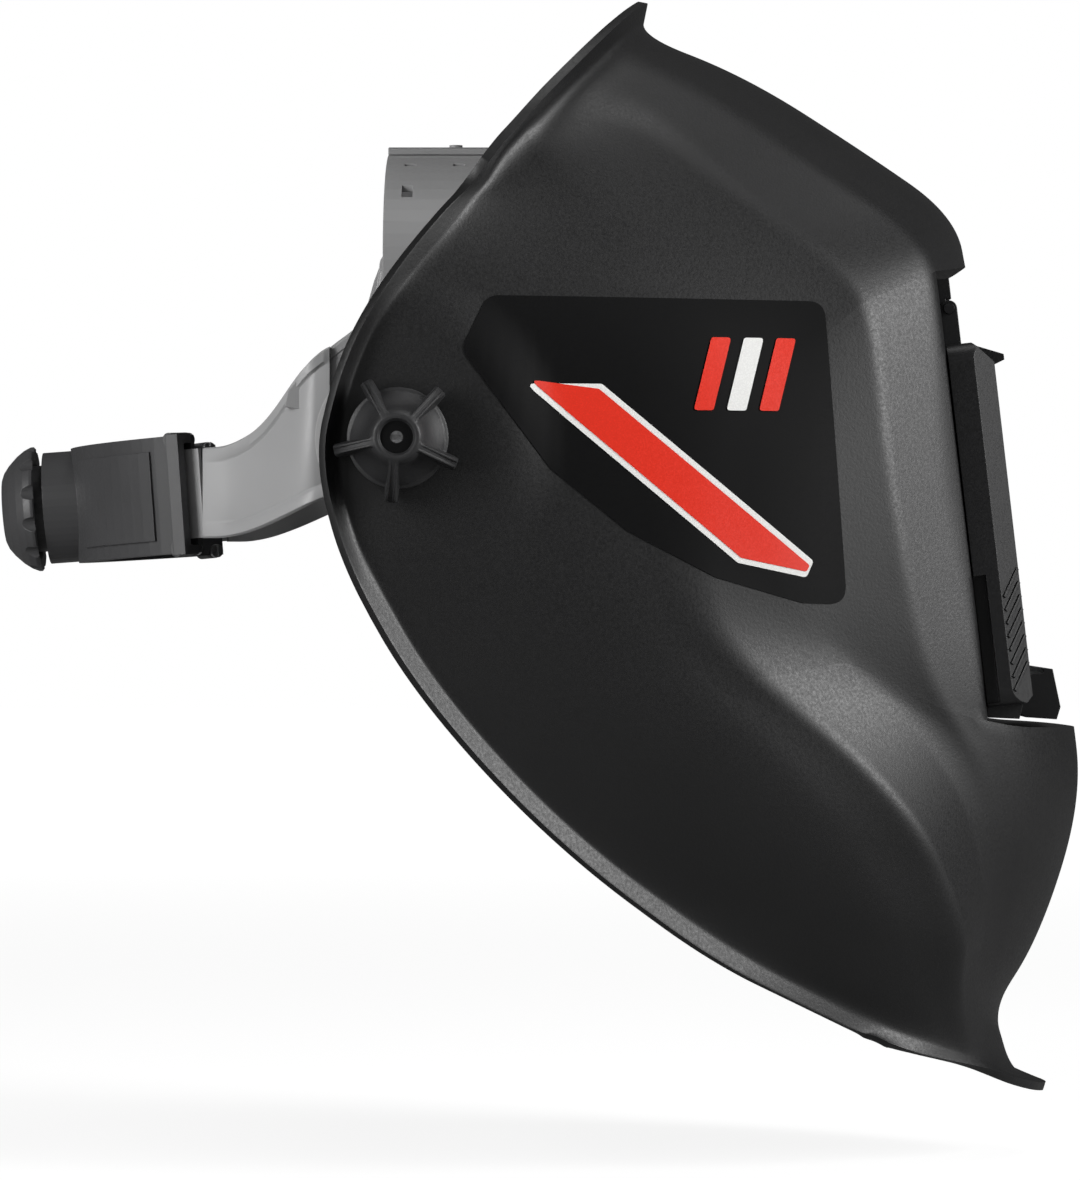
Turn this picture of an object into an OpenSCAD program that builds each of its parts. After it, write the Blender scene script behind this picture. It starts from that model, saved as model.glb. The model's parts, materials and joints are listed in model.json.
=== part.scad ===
// Welding helmet: a moulded shell with a flip-up filter frame, worn on a ratchet headband.
// Millimetres. The origin is midway between the two pivots on which the shell tips up.
// +X is the way the wearer faces, +Y the wearer's left and +Z up.

/* [Shell] */
// Wall thickness of the moulded shell
shell_wall = 2.5; // [2:0.1:3]
// Half the width of the shell across its pivots
pivot_y = 112; // [110:0.5:114]

/* [Window] */
// Width of the filter plates
filter_w = 110; // [104:1:110]
// Height of the filter plates
filter_h = 90; // [84:1:90]
// Thickness of the dark filter
filter_t = 3; // [2:0.1:3.5]
// Thickness of the clear safety plate behind the window
clear_t = 3; // [2:0.1:3.5]
// Thickness of the clear cover plate in front of the filter
cover_t = 2; // [1.5:0.1:2.3]
// How far a frame overlaps the edge of its plate
plate_lap = 5; // [4:0.5:6]

/* [Flip frame] */
// How far the flip-up frame reaches past the filter at each side
frame_edge_w = 7; // [6:0.5:8]
// How far it reaches past the filter above and below
frame_edge_h = 6; // [5:0.5:6.5]
// Distance from the shell to the front face of the flip-up frame
frame_d = 13.5; // [13:0.1:14.5]
// Corner radius of the flip-up frame
frame_r = 5; // [2:0.5:6]
// Bevel around the front of the flip-up frame
frame_bevel = 6; // [4:0.5:6.5]
// Diameter of the hinge pin
hinge_pin_d = 3; // [2.4:0.1:3.4]
// Number of grip ribs on each side of the frame
grip_ribs = 8; // [5:1:9]

/* [Pivots] */
// Diameter of the pivot bolts
bolt_d = 7; // [6:0.5:8]
// Radius of the tension knobs over their arms
knob_r = 17.5; // [16:0.5:18.5]
// Height of the tension knobs
knob_h = 14; // [12:0.5:16]
// Radius of the inner pivot discs
disc_r = 22.5; // [19:0.5:23.5]
// Thickness of the friction washers
washer_t = 1.2; // [0.8:0.1:2]

/* [Headband] */
// Half the width of the head inside the headband
head_half = 78; // [76:0.5:79]
// How far the forehead lies in front of the pivots
head_front = 102; // [98:1:106]
// Thickness of the headband's moulding
band_t = 2; // [1.6:0.1:2.4]
// Height of the headband
band_h = 26; // [24:1:30]
// Thickness of the brow pad
brow_pad_t = 6; // [4:0.5:8]
// Thickness of the rear pad
rear_pad_t = 5; // [4:0.5:7]
// Thickness of the crown straps
crown_t = 1.8; // [1.5:0.1:2.1]
// Width of the crown straps
crown_w = 38; // [34:1:42]
// Height of the crown straps above the pivots
crown_top = 83; // [80:1:88]

/* [Ratchet] */
// Radius of the arc that the toothed strap ends follow
rear_r = 62; // [61:0.5:63]
// Height of the straps and toothed ends
strap_h = 25; // [23:0.5:26]
// Height of the ratchet housing
housing_h = 33; // [32:0.5:36]
// Wall thickness of the ratchet housing
housing_wall = 2.2; // [1.8:0.1:2.6]
// Thickness of each toothed strap end
rack_t = 1.5; // [1.2:0.1:1.6]
// Number of teeth on the pinion
pinion_teeth = 10; // [8:1:12]
// Radius of the size knob
size_knob_r = 18; // [16.5:0.5:19]
// Length of the size knob along its axis
size_knob_l = 10; // [9:0.5:12]

/* [Hidden] */
$fn = 48;
frame_w = filter_w + 2 * frame_edge_w;
frame_h = filter_h + 2 * frame_edge_h;
fit = 0.3;        // gap between neighbouring pieces that don't have to touch
run_gap = 0.05;   // radial gap of a pin or shaft in its bore
eps = 0.05;       // overshoot of a cut past the face it leaves by

// ---------- Shared shapes ----------
// Flat plate with round corners, standing on z = 0
module plate(w, h, t, r) {
    linear_extrude(t)
        for (k = [0, 1])
            square([w - 2 * r * k, h - 2 * r * (1 - k)], center = true);
    for (x = [-1, 1], y = [-1, 1])
        translate([x * (w / 2 - r), y * (h / 2 - r), 0])
            cylinder(h = t, r = r);
}

// Rectangular ring between z = z0 and z = z1
module ring(w, h, w_in, h_in, z0, z1, r) {
    difference() {
        translate([0, 0, z0])
            plate(w, h, z1 - z0, r);
        translate([-w_in / 2, -h_in / 2, z0 - eps])
            cube([w_in, h_in, z1 - z0 + 2 * eps]);
    }
}

// Round bar or hole between z = z0 and z = z1
module rod(r, z0, z1) {
    translate([0, 0, z0])
        cylinder(h = z1 - z0, r = r);
}

// Round bush between z = z0 and z = z1
module tube(r_out, r_in, z0, z1) {
    difference() {
        rod(r_out, z0, z1);
        rod(r_in, z0 - eps, z1 + eps);
    }
}

// Pan-head screw: its head lies on z = 0 and rises to +z, its shank runs to -z
module screw(r, length, head_r, head_h) {
    rod(r, -length, head_h * 0.4);
    difference() {
        rod(head_r, 0, head_h);
        translate([-head_r, -head_h / 5, head_h * 0.6])
            cube([2 * head_r, head_h / 2.5, head_h]);
    }
}

// Mirrors what is drawn on the wearer's left to the right when s is -1
module on_side(s) {
    if (s > 0)
        children();
    else
        mirror([0, 1, 0])
            children();
}

// Skin over a row of rings, each a list of as many points, closed at both ends
module sweep(rings) {
    n = len(rings) - 1;
    m = len(rings[0]);
    function at(i, k) = i * m + k % m;
    points = [for (ring = rings) each ring];
    faces = concat(
        [[for (k = [0:m - 1]) k]],
        [[for (k = [m - 1:-1:0]) at(n, k)]],
        [for (i = [0:n - 1], k = [0:m - 1])
            each [[at(i, k), at(i + 1, k), at(i + 1, k + 1)], [at(i, k), at(i + 1, k + 1), at(i, k + 1)]]]);
    polyhedron(points, faces, convexity = 8);
}
function unit(v) = v / norm(v);
function heading(path, i) = unit(path[min(i + 1, len(path) - 1)] - path[max(i - 1, 0)]);

// Round wire along a path that bends about the direction up
module wire(path, d, up, sides = 8) {
    sweep([for (i = [0:len(path) - 1])
        let (t = heading(path, i), p = unit(cross(t, up)), q = cross(t, p))
        [for (k = [0:sides - 1])
            path[i] + d / 2 * (cos(360 * k / sides) * p + sin(360 * k / sides) * q)]]);
}

// ---------- Places ----------
// Places children on the window: x across, y up and z out of the shell's flat front
window_at = [157.2, 0, -23.2];
window_lean = 6.6;
module on_window() {
    translate(window_at)
        rotate([0, -window_lean, 0])
            rotate([90, 0, 90])
                children();
}

// Places children on the left pivot: z runs outwards along the pivot axis from the mid plane
module on_pivot() {
    rotate([-90, 0, 0])
        children();
}

// ---------- Shell ----------
// Control points of the moulded surface. The rows run from the forehead lip down to the chin
// lip. The points of a row run from the centre line out to the rim: centre, brow, front edge,
// panel crease, foot and top of the jaw step, side, root of the lip, and rim.
shell_net = [
    [[69, 0, 129.5], [67, 24, 126.5], [60, 48, 120], [49, 73, 107.5], [38.5, 86, 96.5],
        [34, 91, 91], [29.5, 95, 85.5], [25, 99, 80.5], [21.5, 102, 75.5]],
    [[66, 0, 119.5], [64.5, 24, 117], [59.5, 46, 111], [47, 69, 98.5], [36, 84, 86],
        [30.5, 88, 81], [25.5, 92, 75.5], [21, 96, 71], [17, 101, 69.5]],
    [[100, 0, 109.5], [97.5, 26, 106.5], [86.5, 50, 99.5], [69, 72, 90], [52, 86, 74.5],
        [41, 92, 65.5], [30, 97, 61.5], [14.5, 103, 59], [10, 107, 61.5]],
    [[135, 0, 90.5], [131, 30, 87], [119.5, 55, 79], [97, 77, 67], [76.5, 88, 52.5],
        [54.5, 96, 46.5], [33, 102, 44.5], [3.5, 109, 44], [-0.5, 113, 45.5]],
    [[162, 0, 70.5], [158, 33, 67.5], [145, 60, 60.5], [122.5, 77, 49.5], [101.5, 87, 33],
        [76.5, 97, 27], [43.5, 104, 27], [-5.5, 112, 29], [-10, 117, 30]],
    [[163.5, 0, 47.5], [160, 34, 45.5], [151, 62, 44.5], [130, 79, 35], [107, 89, 15],
        [79, 99, 11], [43.5, 106, 10.5], [-11.5, 113, 14.5], [-16, 118, 15]],
    [[178, 0, -16], [172, 36, -17], [157, 63, -16], [135.5, 81, -16], [106.5, 93, -16.5],
        [76.5, 102, -16.5], [43.5, 108, -14], [-15.5, 113, -6.5], [-21, 118, -6]],
    [[196, 0, -72], [188, 34, -71.5], [170.5, 57, -71.5], [146, 74, -66], [109.5, 92, -48.5],
        [81.5, 104, -52.5], [49, 109, -49], [-8, 112, -33.5], [-13, 117, -35]],
    [[199, 0, -102], [192.5, 24, -101], [181.5, 44, -99.5], [168, 56, -97], [153.5, 68, -89.5],
        [137, 88, -95.5], [92.5, 103, -87], [11, 106, -67.5], [6, 111, -69]],
    [[186, 0, -141], [181.5, 18, -139.5], [174, 34, -136], [168, 44, -132.5], [164.5, 51, -128],
        [157, 66, -134], [117.5, 90, -120.5], [48.5, 94, -108], [43.5, 98, -110.5]],
    [[167, 0, -162.5], [165.5, 14, -161.5], [163.5, 27, -159.5], [161, 36, -157],
        [158.5, 44, -152.5], [153, 56, -151.5], [130, 70, -146.5], [92, 80, -139.5],
        [86.5, 84, -143]],
    [[172.5, 0, -180.5], [170, 14, -179], [166.5, 25, -177], [163, 33, -174.5],
        [159.5, 39, -172.5], [154.5, 45, -170], [145, 53, -166], [130.5, 60, -161.5],
        [124.5, 63, -164]],
    [[185, 0, -183.5], [180.5, 14, -182.5], [173.5, 26, -180.5], [167.5, 34, -178.5],
        [161, 41, -176.5], [153, 48, -174], [144, 54, -171.5], [134.5, 60, -168],
        [129, 63, -165.5]]
];
net_rows = len(shell_net) - 1;
net_cols = len(shell_net[0]) - 1;
// A wider or higher flip frame than the control points are drawn for moves them apart
drawn_frame = [124, 102];
widen = (frame_w - drawn_frame.x) / 2;
heighten = (frame_h - drawn_frame.y) / 2;
widen_share = [0, 0.55, 1, 1, 0.8, 0.6, 0.4, 0, 0];
heighten_share = [1, 1, 1, 1, 1, 0.8, 0, -0.8, -1, -1, -1, -1, -1];
fitted_net = [for (r = [0:net_rows])
    [for (c = [0:net_cols]) shell_net[r][c] + [0, widen * widen_share[c], heighten * heighten_share[r]]]];
brow_u = 4.72;      // row at which the window recess starts, under the brow
ledge_u = 7.29;     // row at which it ends, on the chin ledge
brow_step = 0.12;   // how much sooner the recess starts on the inside, for an even wall
ledge_step = 0.085; // how much later it ends there
flat_r = 34;        // flat round each pivot
flat_blend = 8;     // and the width over which it blends into the side
lip_cols = 0.7;     // columns of the net that the flared lip takes

// Point at t on the quadratic spline of the control points p
function spline(p, t) =
    let (n = len(p) - 1,
        i = min(max(floor(t + 0.5), 0), n),
        v = t - i + 0.5,
        a = i == 0 ? 2 * p[0] - p[1] : p[i - 1],
        c = i == n ? 2 * p[n] - p[n - 1] : p[i + 1])
    (1 - v) * (1 - v) / 2 * a + (0.5 + v * (1 - v)) * p[i] + v * v / 2 * c;
full_net = [for (row = fitted_net)
    concat([for (i = [net_cols:-1:1]) [row[i].x, -row[i].y, row[i].z]], row)];
function skin(u, v) = spline([for (row = full_net) spline(row, v + net_cols)], u);
function skin_normal(u, v) =
    let (h = 0.02,
        du = skin(min(u + h, net_rows), v) - skin(max(u - h, 0), v),
        dv = skin(u, min(v + h, net_cols)) - skin(u, max(v - h, -net_cols)),
        n = cross(du, dv))
    n / norm(n);
function window_x(z) = window_at.x - (z - window_at.z) * tan(window_lean);
// 1 on the flat round a pivot, 0 clear of it and on the flared lip
function flatness(p, v) =
    min(max((flat_r + flat_blend - norm([p.x, p.z])) / flat_blend, 0), 1)
    * min(max((net_cols - abs(v)) / lip_cols, 0), 1);
function within(x, low, high) = min(max(x, low), high);
// Point of the shell's outside (depth 0) or inside (depth shell_wall)
function shell_point(u, v, cut, depth) =
    let (p = skin(u, v),
        n = skin_normal(within(u, 0.4, net_rows - 0.4), within(v, 0.4 - net_cols, net_cols - 0.4)),
        q = p - depth * n,
        w = flatness(p, v),
        y = (1 - w) * q.y + w * sign(v) * (pivot_y - depth),
        x = cut ? min(q.x, window_x(q.z) - depth / cos(window_lean)) : q.x)
    [x, y, q.z];

module shell_skin() {
    // each row: where it lies outside, where it lies inside, and whether the recess cuts it
    rows = concat(
        [for (u = [0:0.25:4.5]) [u, u, false]],
        [for (cut = [false, true]) [brow_u, brow_u - brow_step, cut]],
        [for (u = [5:0.25:7]) [u, u, true]],
        [for (cut = [true, false]) [ledge_u, ledge_u + ledge_step, cut]],
        [for (u = [7.5:0.25:net_rows]) [u, u, false]]);
    half = [0.6, 1.2, 1.7, 2, 2.3, 2.7, 3.2, 3.7, 4.2, 4.7, 5.2, 5.7, 6.1, 6.4, 6.7, 7, 7.3, 7.6, 8];
    cols = concat([for (i = [len(half) - 1:-1:0]) -half[i]], [0], half);
    nr = len(rows) - 1;
    nc = len(cols) - 1;
    in0 = (nr + 1) * (nc + 1);
    points = concat(
        [for (r = rows, v = cols) shell_point(r[0], v, r[2], 0)],
        [for (r = rows, v = cols) shell_point(r[1], v, r[2], shell_wall)]);
    function at(r, c) = r * (nc + 1) + c;
    function two(a, b, c, d) = [[a, b, c], [a, c, d]];
    faces = concat(
        [for (r = [0:nr - 1], c = [0:nc - 1])
            each two(at(r, c), at(r, c + 1), at(r + 1, c + 1), at(r + 1, c))],
        [for (r = [0:nr - 1], c = [0:nc - 1])
            each two(in0 + at(r, c), in0 + at(r + 1, c), in0 + at(r + 1, c + 1), in0 + at(r, c + 1))],
        [for (c = [0:nc - 1]) each two(at(0, c + 1), at(0, c), in0 + at(0, c), in0 + at(0, c + 1))],
        [for (c = [0:nc - 1])
            each two(at(nr, c), at(nr, c + 1), in0 + at(nr, c + 1), in0 + at(nr, c))],
        [for (r = [0:nr - 1])
            each two(at(r + 1, nc), at(r, nc), in0 + at(r, nc), in0 + at(r + 1, nc))],
        [for (r = [0:nr - 1]) each two(at(r, 0), at(r + 1, 0), in0 + at(r + 1, 0), in0 + at(r, 0))]);
    polyhedron(points, faces, convexity = 6);
}

bush_r = bolt_d / 2 + 3;
bracket_screw_at = [30, frame_h / 2 + 16];
bracket_screw_r = 1.5;
module shell() {
    color("#2b2c2e")
        difference() {
            shell_skin();
            on_window() {
                cube([filter_w - 2 * plate_lap, filter_h - 2 * plate_lap, 30], center = true);
                for (s = [-1, 1])
                    translate([s * bracket_screw_at.x, bracket_screw_at.y, 0])
                        cylinder(h = 20, r = bracket_screw_r + 0.1, center = true);
            }
            for (s = [-1, 1])
                on_side(s)
                    on_pivot()
                        rod(bush_r, pivot_y - 10, pivot_y + 10);
        }
}

// ---------- Window behind the flip frame ----------
slip = 0.3;         // gap round the edge of a plate in its frame
gasket_t = 1;
rim_t = 2.7;        // wall of the fixed frame round the clear plate
clear_front = -shell_wall - gasket_t;
clear_back = clear_front - clear_t;
spring_wire = 1.2;
retainer_front = clear_back - 2 * spring_wire - fit;
retainer_t = 2;
window_frame_w = filter_w + 2 * (slip + rim_t);
window_frame_h = filter_h + 2 * (slip + rim_t);
retainer_screw_at = [40, window_frame_h / 2 + 4];
retainer_screw_r = 1.25;
flange_t = 1.8;

module window_frame() {
    color("#333436")
        on_window()
            difference() {
                union() {
                    ring(window_frame_w, window_frame_h, filter_w + 2 * slip, filter_h + 2 * slip,
                        retainer_front, -shell_wall, 2);
                    for (s = [-1, 1])
                        translate([s * retainer_screw_at.x, retainer_screw_at.y, 0])
                            rod(4.2, retainer_front, -shell_wall);
                    translate([-retainer_screw_at.x, window_frame_h / 2 - 1, -shell_wall - flange_t])
                        cube([2 * retainer_screw_at.x, bracket_screw_at.y + 3.5 - window_frame_h / 2 + 1,
                            flange_t]);
                }
                for (s = [-1, 1]) {
                    translate([s * retainer_screw_at.x, retainer_screw_at.y, 0])
                        rod(retainer_screw_r, retainer_front - eps, -shell_wall - flange_t);
                    translate([s * bracket_screw_at.x, bracket_screw_at.y, 0])
                        rod(bracket_screw_r + 0.1, -20, 0);
                }
            }
}

module plate_gasket() {
    color("#3c3c3e")
        on_window()
            ring(filter_w, filter_h, filter_w - 2 * plate_lap + 1, filter_h - 2 * plate_lap + 1,
                clear_front, -shell_wall, 1);
}

module clear_plate() {
    color("#cfe2e6", 0.4)
        on_window()
            translate([0, 0, clear_back])
                plate(filter_w, filter_h, clear_t, 1);
}

module plate_spring() {
    color("silver")
        on_window()
            wire(plate_wire(clear_back - 0.1 - spring_wire / 2), spring_wire, [0, 0, 1]);
}
// Bowed wire across the lower half of a plate, at height z behind it
function plate_wire(z) = let (w = filter_w / 2 - 1.5, h = filter_h / 2)
    [[-w, -h * 0.3, z], [-w + 4, -h * 0.5, z], [-w * 0.7, -h * 0.85, z], [-w * 0.4, -h * 0.95, z],
        [w * 0.4, -h * 0.95, z], [w * 0.7, -h * 0.85, z], [w - 4, -h * 0.5, z], [w, -h * 0.3, z]];

module window_retainer() {
    color("#3a3b3d")
        on_window()
            difference() {
                union() {
                    ring(window_frame_w, window_frame_h, filter_w - 2 * plate_lap, filter_h - 2 * plate_lap,
                        retainer_front - retainer_t, retainer_front, 2);
                    for (s = [-1, 1])
                        translate([s * retainer_screw_at.x, retainer_screw_at.y, 0])
                            rod(4.2, retainer_front - retainer_t, retainer_front);
                }
                for (s = [-1, 1])
                    translate([s * retainer_screw_at.x, retainer_screw_at.y, 0])
                        rod(retainer_screw_r + 0.2, -30, 0);
            }
}

module retainer_screws() {
    color("silver")
        on_window()
            for (s = [-1, 1])
                translate([s * retainer_screw_at.x, retainer_screw_at.y, retainer_front - retainer_t])
                    mirror([0, 0, 1])
                        screw(retainer_screw_r - run_gap, 6, 2.6, 1.6);
}

// ---------- Hinge of the flip frame ----------
hinge_b = frame_h / 2 + 10.2; // height of the hinge axis above the middle of the window
hinge_c = 2.6;      // distance of the hinge axis from the shell's flat front
knuckle_r = 2.3;
bracket_half = 48;
bracket_knuckle = 14;
bracket_t = 4.2;
lug_w = 7.5;

// Places children on the hinge axis, with z along it
module on_hinge() {
    on_window()
        translate([0, hinge_b, hinge_c])
            rotate([0, 90, 0])
                children();
}

module hinge_bracket() {
    color("#1f2022")
        difference() {
            union() {
                on_window() {
                    translate([-bracket_half, hinge_b + 3, 0])
                        cube([2 * bracket_half, bracket_screw_at.y + 3 - hinge_b - 3, bracket_t]);
                    for (s = [-1, 1])
                        translate([s * (bracket_half - bracket_knuckle / 2) - bracket_knuckle / 2,
                            hinge_b - knuckle_r, 0])
                            cube([bracket_knuckle, 3 + knuckle_r + 1, hinge_c]);
                }
                on_hinge()
                    for (s = [-1, 1])
                        translate([0, 0, s * (bracket_half - bracket_knuckle / 2)])
                            cylinder(h = bracket_knuckle, r = knuckle_r, center = true);
            }
            on_hinge()
                rod(hinge_pin_d / 2 + run_gap, -bracket_half - 1, bracket_half + 1);
            on_window()
                for (s = [-1, 1])
                    translate([s * bracket_screw_at.x, bracket_screw_at.y, 0])
                        rod(bracket_screw_r + run_gap, -1, bracket_t - 1);
        }
}

module bracket_screws() {
    color("silver")
        on_window()
            for (s = [-1, 1])
                translate([s * bracket_screw_at.x, bracket_screw_at.y, -shell_wall - flange_t])
                    mirror([0, 0, 1])
                        screw(bracket_screw_r, shell_wall + flange_t + bracket_t - 1.5, 2.8, 1.6);
}

module hinge_pin() {
    color("silver")
        on_hinge()
            rod(hinge_pin_d / 2, -bracket_half - fit - lug_w - 1, bracket_half + fit + lug_w + 1);
}

coil_wire = 0.6;
coil_turns = 9;
coil_pitch = 0.8;
module hinge_spring() {
    r = hinge_pin_d / 2 + 0.1 + coil_wire / 2;
    steps = 10;
    half = coil_turns * coil_pitch / 2;
    color("silver")
        on_hinge()
            wire(concat(
                [[r, 2.6, -half]],
                [for (i = [0:coil_turns * steps])
                    [r * cos(360 * i / steps), -r * sin(360 * i / steps), -half + coil_pitch * i / steps]],
                [[r, -3.5, half]]), coil_wire, [0, 0, 1], 6);
}

// ---------- Flip frame ----------
cover_front = frame_d - 0.9;
cover_back = cover_front - cover_t;
filter_front = frame_d - 5.7;
filter_back = filter_front - filter_t;
rebate_w = filter_w - 3;
rebate_h = filter_h - 3;
lip_lap = 6;        // overlap of the frame's inner shelf on the filter
frame_back = fit;
grip_top = -14;
grip_cut = 3.8;

// Outline seen along one edge of the frame: half its size, bevelled at the front
module bevelled(half, bevel_low) {
    polygon([[-half, frame_back], [half, frame_back], [half, frame_d - frame_bevel],
        [half - frame_bevel, frame_d], [-half + bevel_low, frame_d], [-half, frame_d - bevel_low]]);
}

module flip_frame() {
    color("#151618")
        on_window()
            difference() {
                union() {
                    intersection() {
                        plate(frame_w, frame_h, frame_d + 1, frame_r);
                        rotate([90, 0, 0])
                            translate([0, 0, -frame_h])
                                linear_extrude(2 * frame_h)
                                    bevelled(frame_w / 2, frame_bevel);
                        rotate([90, 0, 90])
                            translate([0, 0, -frame_w])
                                linear_extrude(2 * frame_w)
                                    bevelled(frame_h / 2, 2);
                    }
                    hood();
                    sill();
                    lift_tab();
                    for (s = [-1, 1])
                        hinge_lug(s);
                    grips();
                }
                translate([-rebate_w / 2 - slip, -rebate_h / 2 - slip, cover_back - 0.1])
                    cube([rebate_w + 2 * slip, rebate_h + 2 * slip, 9]);
                translate([-filter_w / 2 + lip_lap, -filter_h / 2 + lip_lap, -1])
                    cube([filter_w - 2 * lip_lap, filter_h - 2 * lip_lap, 30]);
                translate([-filter_w / 2 - slip, -filter_h / 2 - slip, -1])
                    cube([filter_w + 2 * slip, filter_h + 2 * slip, filter_front + gasket_t + 0.1 + 1]);
                for (s = [-1, 1]) {
                    translate([s * frame_w / 2 - 3.5, -frame_h / 2 + 1, -1])
                        cube([7, grip_top + frame_h / 2 - 1, grip_cut + 1]);
                    translate([s * clip_at - clip_t / 2 - 0.1, -clip_w / 2 - 0.2, frame_d - clip_depth - 0.1])
                        cube([clip_t + 0.2, clip_w + 0.4, 9]);
                    translate([s * (clip_at - 1.5) - 1.7, -clip_w / 2 - 0.2, cover_front])
                        cube([3.4, clip_w + 0.4, 9]);
                }
                on_hinge_local()
                    rod(hinge_pin_d / 2 + run_gap, -frame_w, frame_w);
            }
}

module on_hinge_local() {
    translate([0, hinge_b, hinge_c])
        rotate([0, 90, 0])
            children();
}

// Visor ridge along the top of the frame's front
module hood() {
    top = frame_h / 2;
    rotate([90, 0, 90])
        translate([0, 0, -frame_w / 2 + 12])
            linear_extrude(frame_w - 24)
                polygon([[top - 7, frame_d - 1], [top, frame_d - frame_bevel - 1],
                    [top, frame_d - frame_bevel], [top - 4, frame_d + 3.4], [top - 5.6, frame_d + 3.4]]);
}

// Lip at the bottom by which the frame is lifted
tab_w = 60;
module lift_tab() {
    low = -frame_h / 2;
    rotate([90, 0, 90])
        translate([0, 0, -tab_w / 2])
            linear_extrude(tab_w)
                polygon([[low + 0.5, 6], [low - 4.8, 13], [low - 6.4, frame_d + 8.2],
                    [low - 3, frame_d + 9.7], [low + 8, frame_d + 8.7], [low + 9.4, frame_d + 3.5],
                    [low + 6.5, frame_d + 2], [low + 3.2, frame_d - 1]]);
}

// Strip along the bottom edge that closes the gap to the ledge under the window
module sill() {
    low = -frame_h / 2;
    rotate([90, 0, 90])
        translate([0, 0, -frame_w / 2 + 6])
            linear_extrude(frame_w - 12)
                polygon([[low + 1, frame_back], [low - 2.8, frame_back], [low - 3.8, 6.5], [low - 4.2, 9],
                    [low + 1, 11]]);
}

module hinge_lug(s) {
    translate([s * (bracket_half + fit + lug_w / 2), 0, 0]) {
        translate([-lug_w / 2, frame_h / 2 - 2, frame_back])
            cube([lug_w, hinge_b - frame_h / 2 + 2, 2 * knuckle_r]);
        translate([0, hinge_b, hinge_c])
            rotate([0, 90, 0])
                cylinder(h = lug_w, r = knuckle_r, center = true);
    }
}

// Slanted ribs on the bevel at both sides
module grips() {
    pitch = 30 / grip_ribs;
    for (s = [-1, 1], i = [0:grip_ribs - 1])
        translate([s * (frame_w / 2 - frame_bevel / 2), grip_top - 3 - i * pitch, frame_d - frame_bevel / 2])
            rotate([0, s * 45, 0])
                rotate([0, 0, -s * 47])
                    cube([frame_bevel * 1.7, 1, 1.1], center = true);
}

module dark_filter() {
    color("#0c1a12")
        on_window()
            translate([0, 0, filter_back])
                plate(filter_w, filter_h, filter_t, 1);
}

module filter_gasket() {
    color("#3c3c3e")
        on_window()
            ring(filter_w, filter_h, filter_w - 2 * lip_lap + 1, filter_h - 2 * lip_lap + 1,
                filter_front, filter_front + gasket_t, 1);
}

module filter_spring() {
    color("silver")
        on_window()
            wire(plate_wire(filter_back - 0.1 - spring_wire / 2), spring_wire, [0, 0, 1]);
}

module cover_plate() {
    color("#dfeaee", 0.5)
        on_window()
            translate([0, 0, cover_back])
                plate(rebate_w, rebate_h, cover_t, 1.5);
}

clip_t = 1.2;
clip_w = 18;
clip_depth = 4.6;
clip_front = cover_front + 0.7;
clip_at = rebate_w / 2 + slip + 0.9;
module cover_clips() {
    lip = 3.6;
    color("silver")
        on_window()
            for (s = [-1, 1])
                mirror([s < 0 ? 1 : 0, 0, 0])
                    translate([clip_at - clip_t / 2, -clip_w / 2, 0]) {
                        translate([0, 0, frame_d - clip_depth])
                            cube([clip_t, clip_w, clip_front - frame_d + clip_depth]);
                        translate([clip_t - lip, 0, cover_front + 0.1])
                            cube([lip, clip_w, 0.6]);
                    }
}

// ---------- Pivots, drawn on the left with z running outwards ----------
disc_t = 1.7;
plate_t = 3;        // outer plate of a pivot arm
foot_t = 2.2;       // its foot on the headband
foot_half = 15;     // half the foot's length
disc_out = pivot_y - shell_wall - fit;
arm_out = disc_out - disc_t;
arm_in = arm_out - plate_t;
band_out = head_half + band_t;
washer_in = pivot_y + fit;
knob_in = washer_in + washer_t + fit;
knob_out = knob_in + knob_h;
head_r = bolt_d / 2 + 3.5;

module pivot_bush(s) {
    color("#55565a")
        on_side(s)
            on_pivot()
                tube(bush_r, bolt_d / 2 + run_gap, pivot_y - shell_wall, pivot_y);
}

module outer_washer(s) {
    color("#8d9094")
        on_side(s)
            on_pivot()
                tube(12.5, bolt_d / 2 + 0.3, washer_in, washer_in + washer_t);
}

module pivot_disc(s) {
    color("#b9bcbf")
        on_side(s)
            on_pivot()
                tube(disc_r, bolt_d / 2 + 0.3, arm_out, disc_out);
}

module pivot_bolt(s) {
    color("silver")
        on_side(s)
            on_pivot() {
                rod(head_r, arm_in - 3.3, arm_in);
                difference() {
                    rod(bolt_d / 2, arm_in - 1, knob_out - 1.5);
                    translate([-bolt_d, -0.7, knob_out - 3])
                        cube([2 * bolt_d, 1.4, 9]);
                }
            }
}

knob_base_r = 13.7;
knob_arms = 5;
module tension_knob(s) {
    base_h = 2.6;
    arm_h = knob_h - 5;
    tip_r = 2.4;
    color("#232427")
        on_side(s)
            on_pivot()
                difference() {
                    union() {
                        rod(knob_base_r, knob_in, knob_in + base_h);
                        rod(bolt_d / 2 + 3.6, knob_in, knob_out);
                        for (k = [0:knob_arms - 1])
                            rotate([0, 0, -90 + 360 * k / knob_arms]) {
                                translate([0, -tip_r, knob_in + 1])
                                    cube([knob_r - tip_r, 2 * tip_r, arm_h - 1]);
                                translate([knob_r - tip_r, 0, 0])
                                    rod(tip_r, knob_in + 1, knob_in + arm_h);
                                translate([0, -0.8, knob_in + arm_h - 1])
                                    cube([knob_r - 1.5, 1.6, 3.6]);
                            }
                    }
                    rod(bolt_d / 2 + run_gap, knob_in - 1, knob_out + 1);
                    rod(bolt_d / 2 + 1.3, knob_out - 4, knob_out + 1);
                }
}

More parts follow.
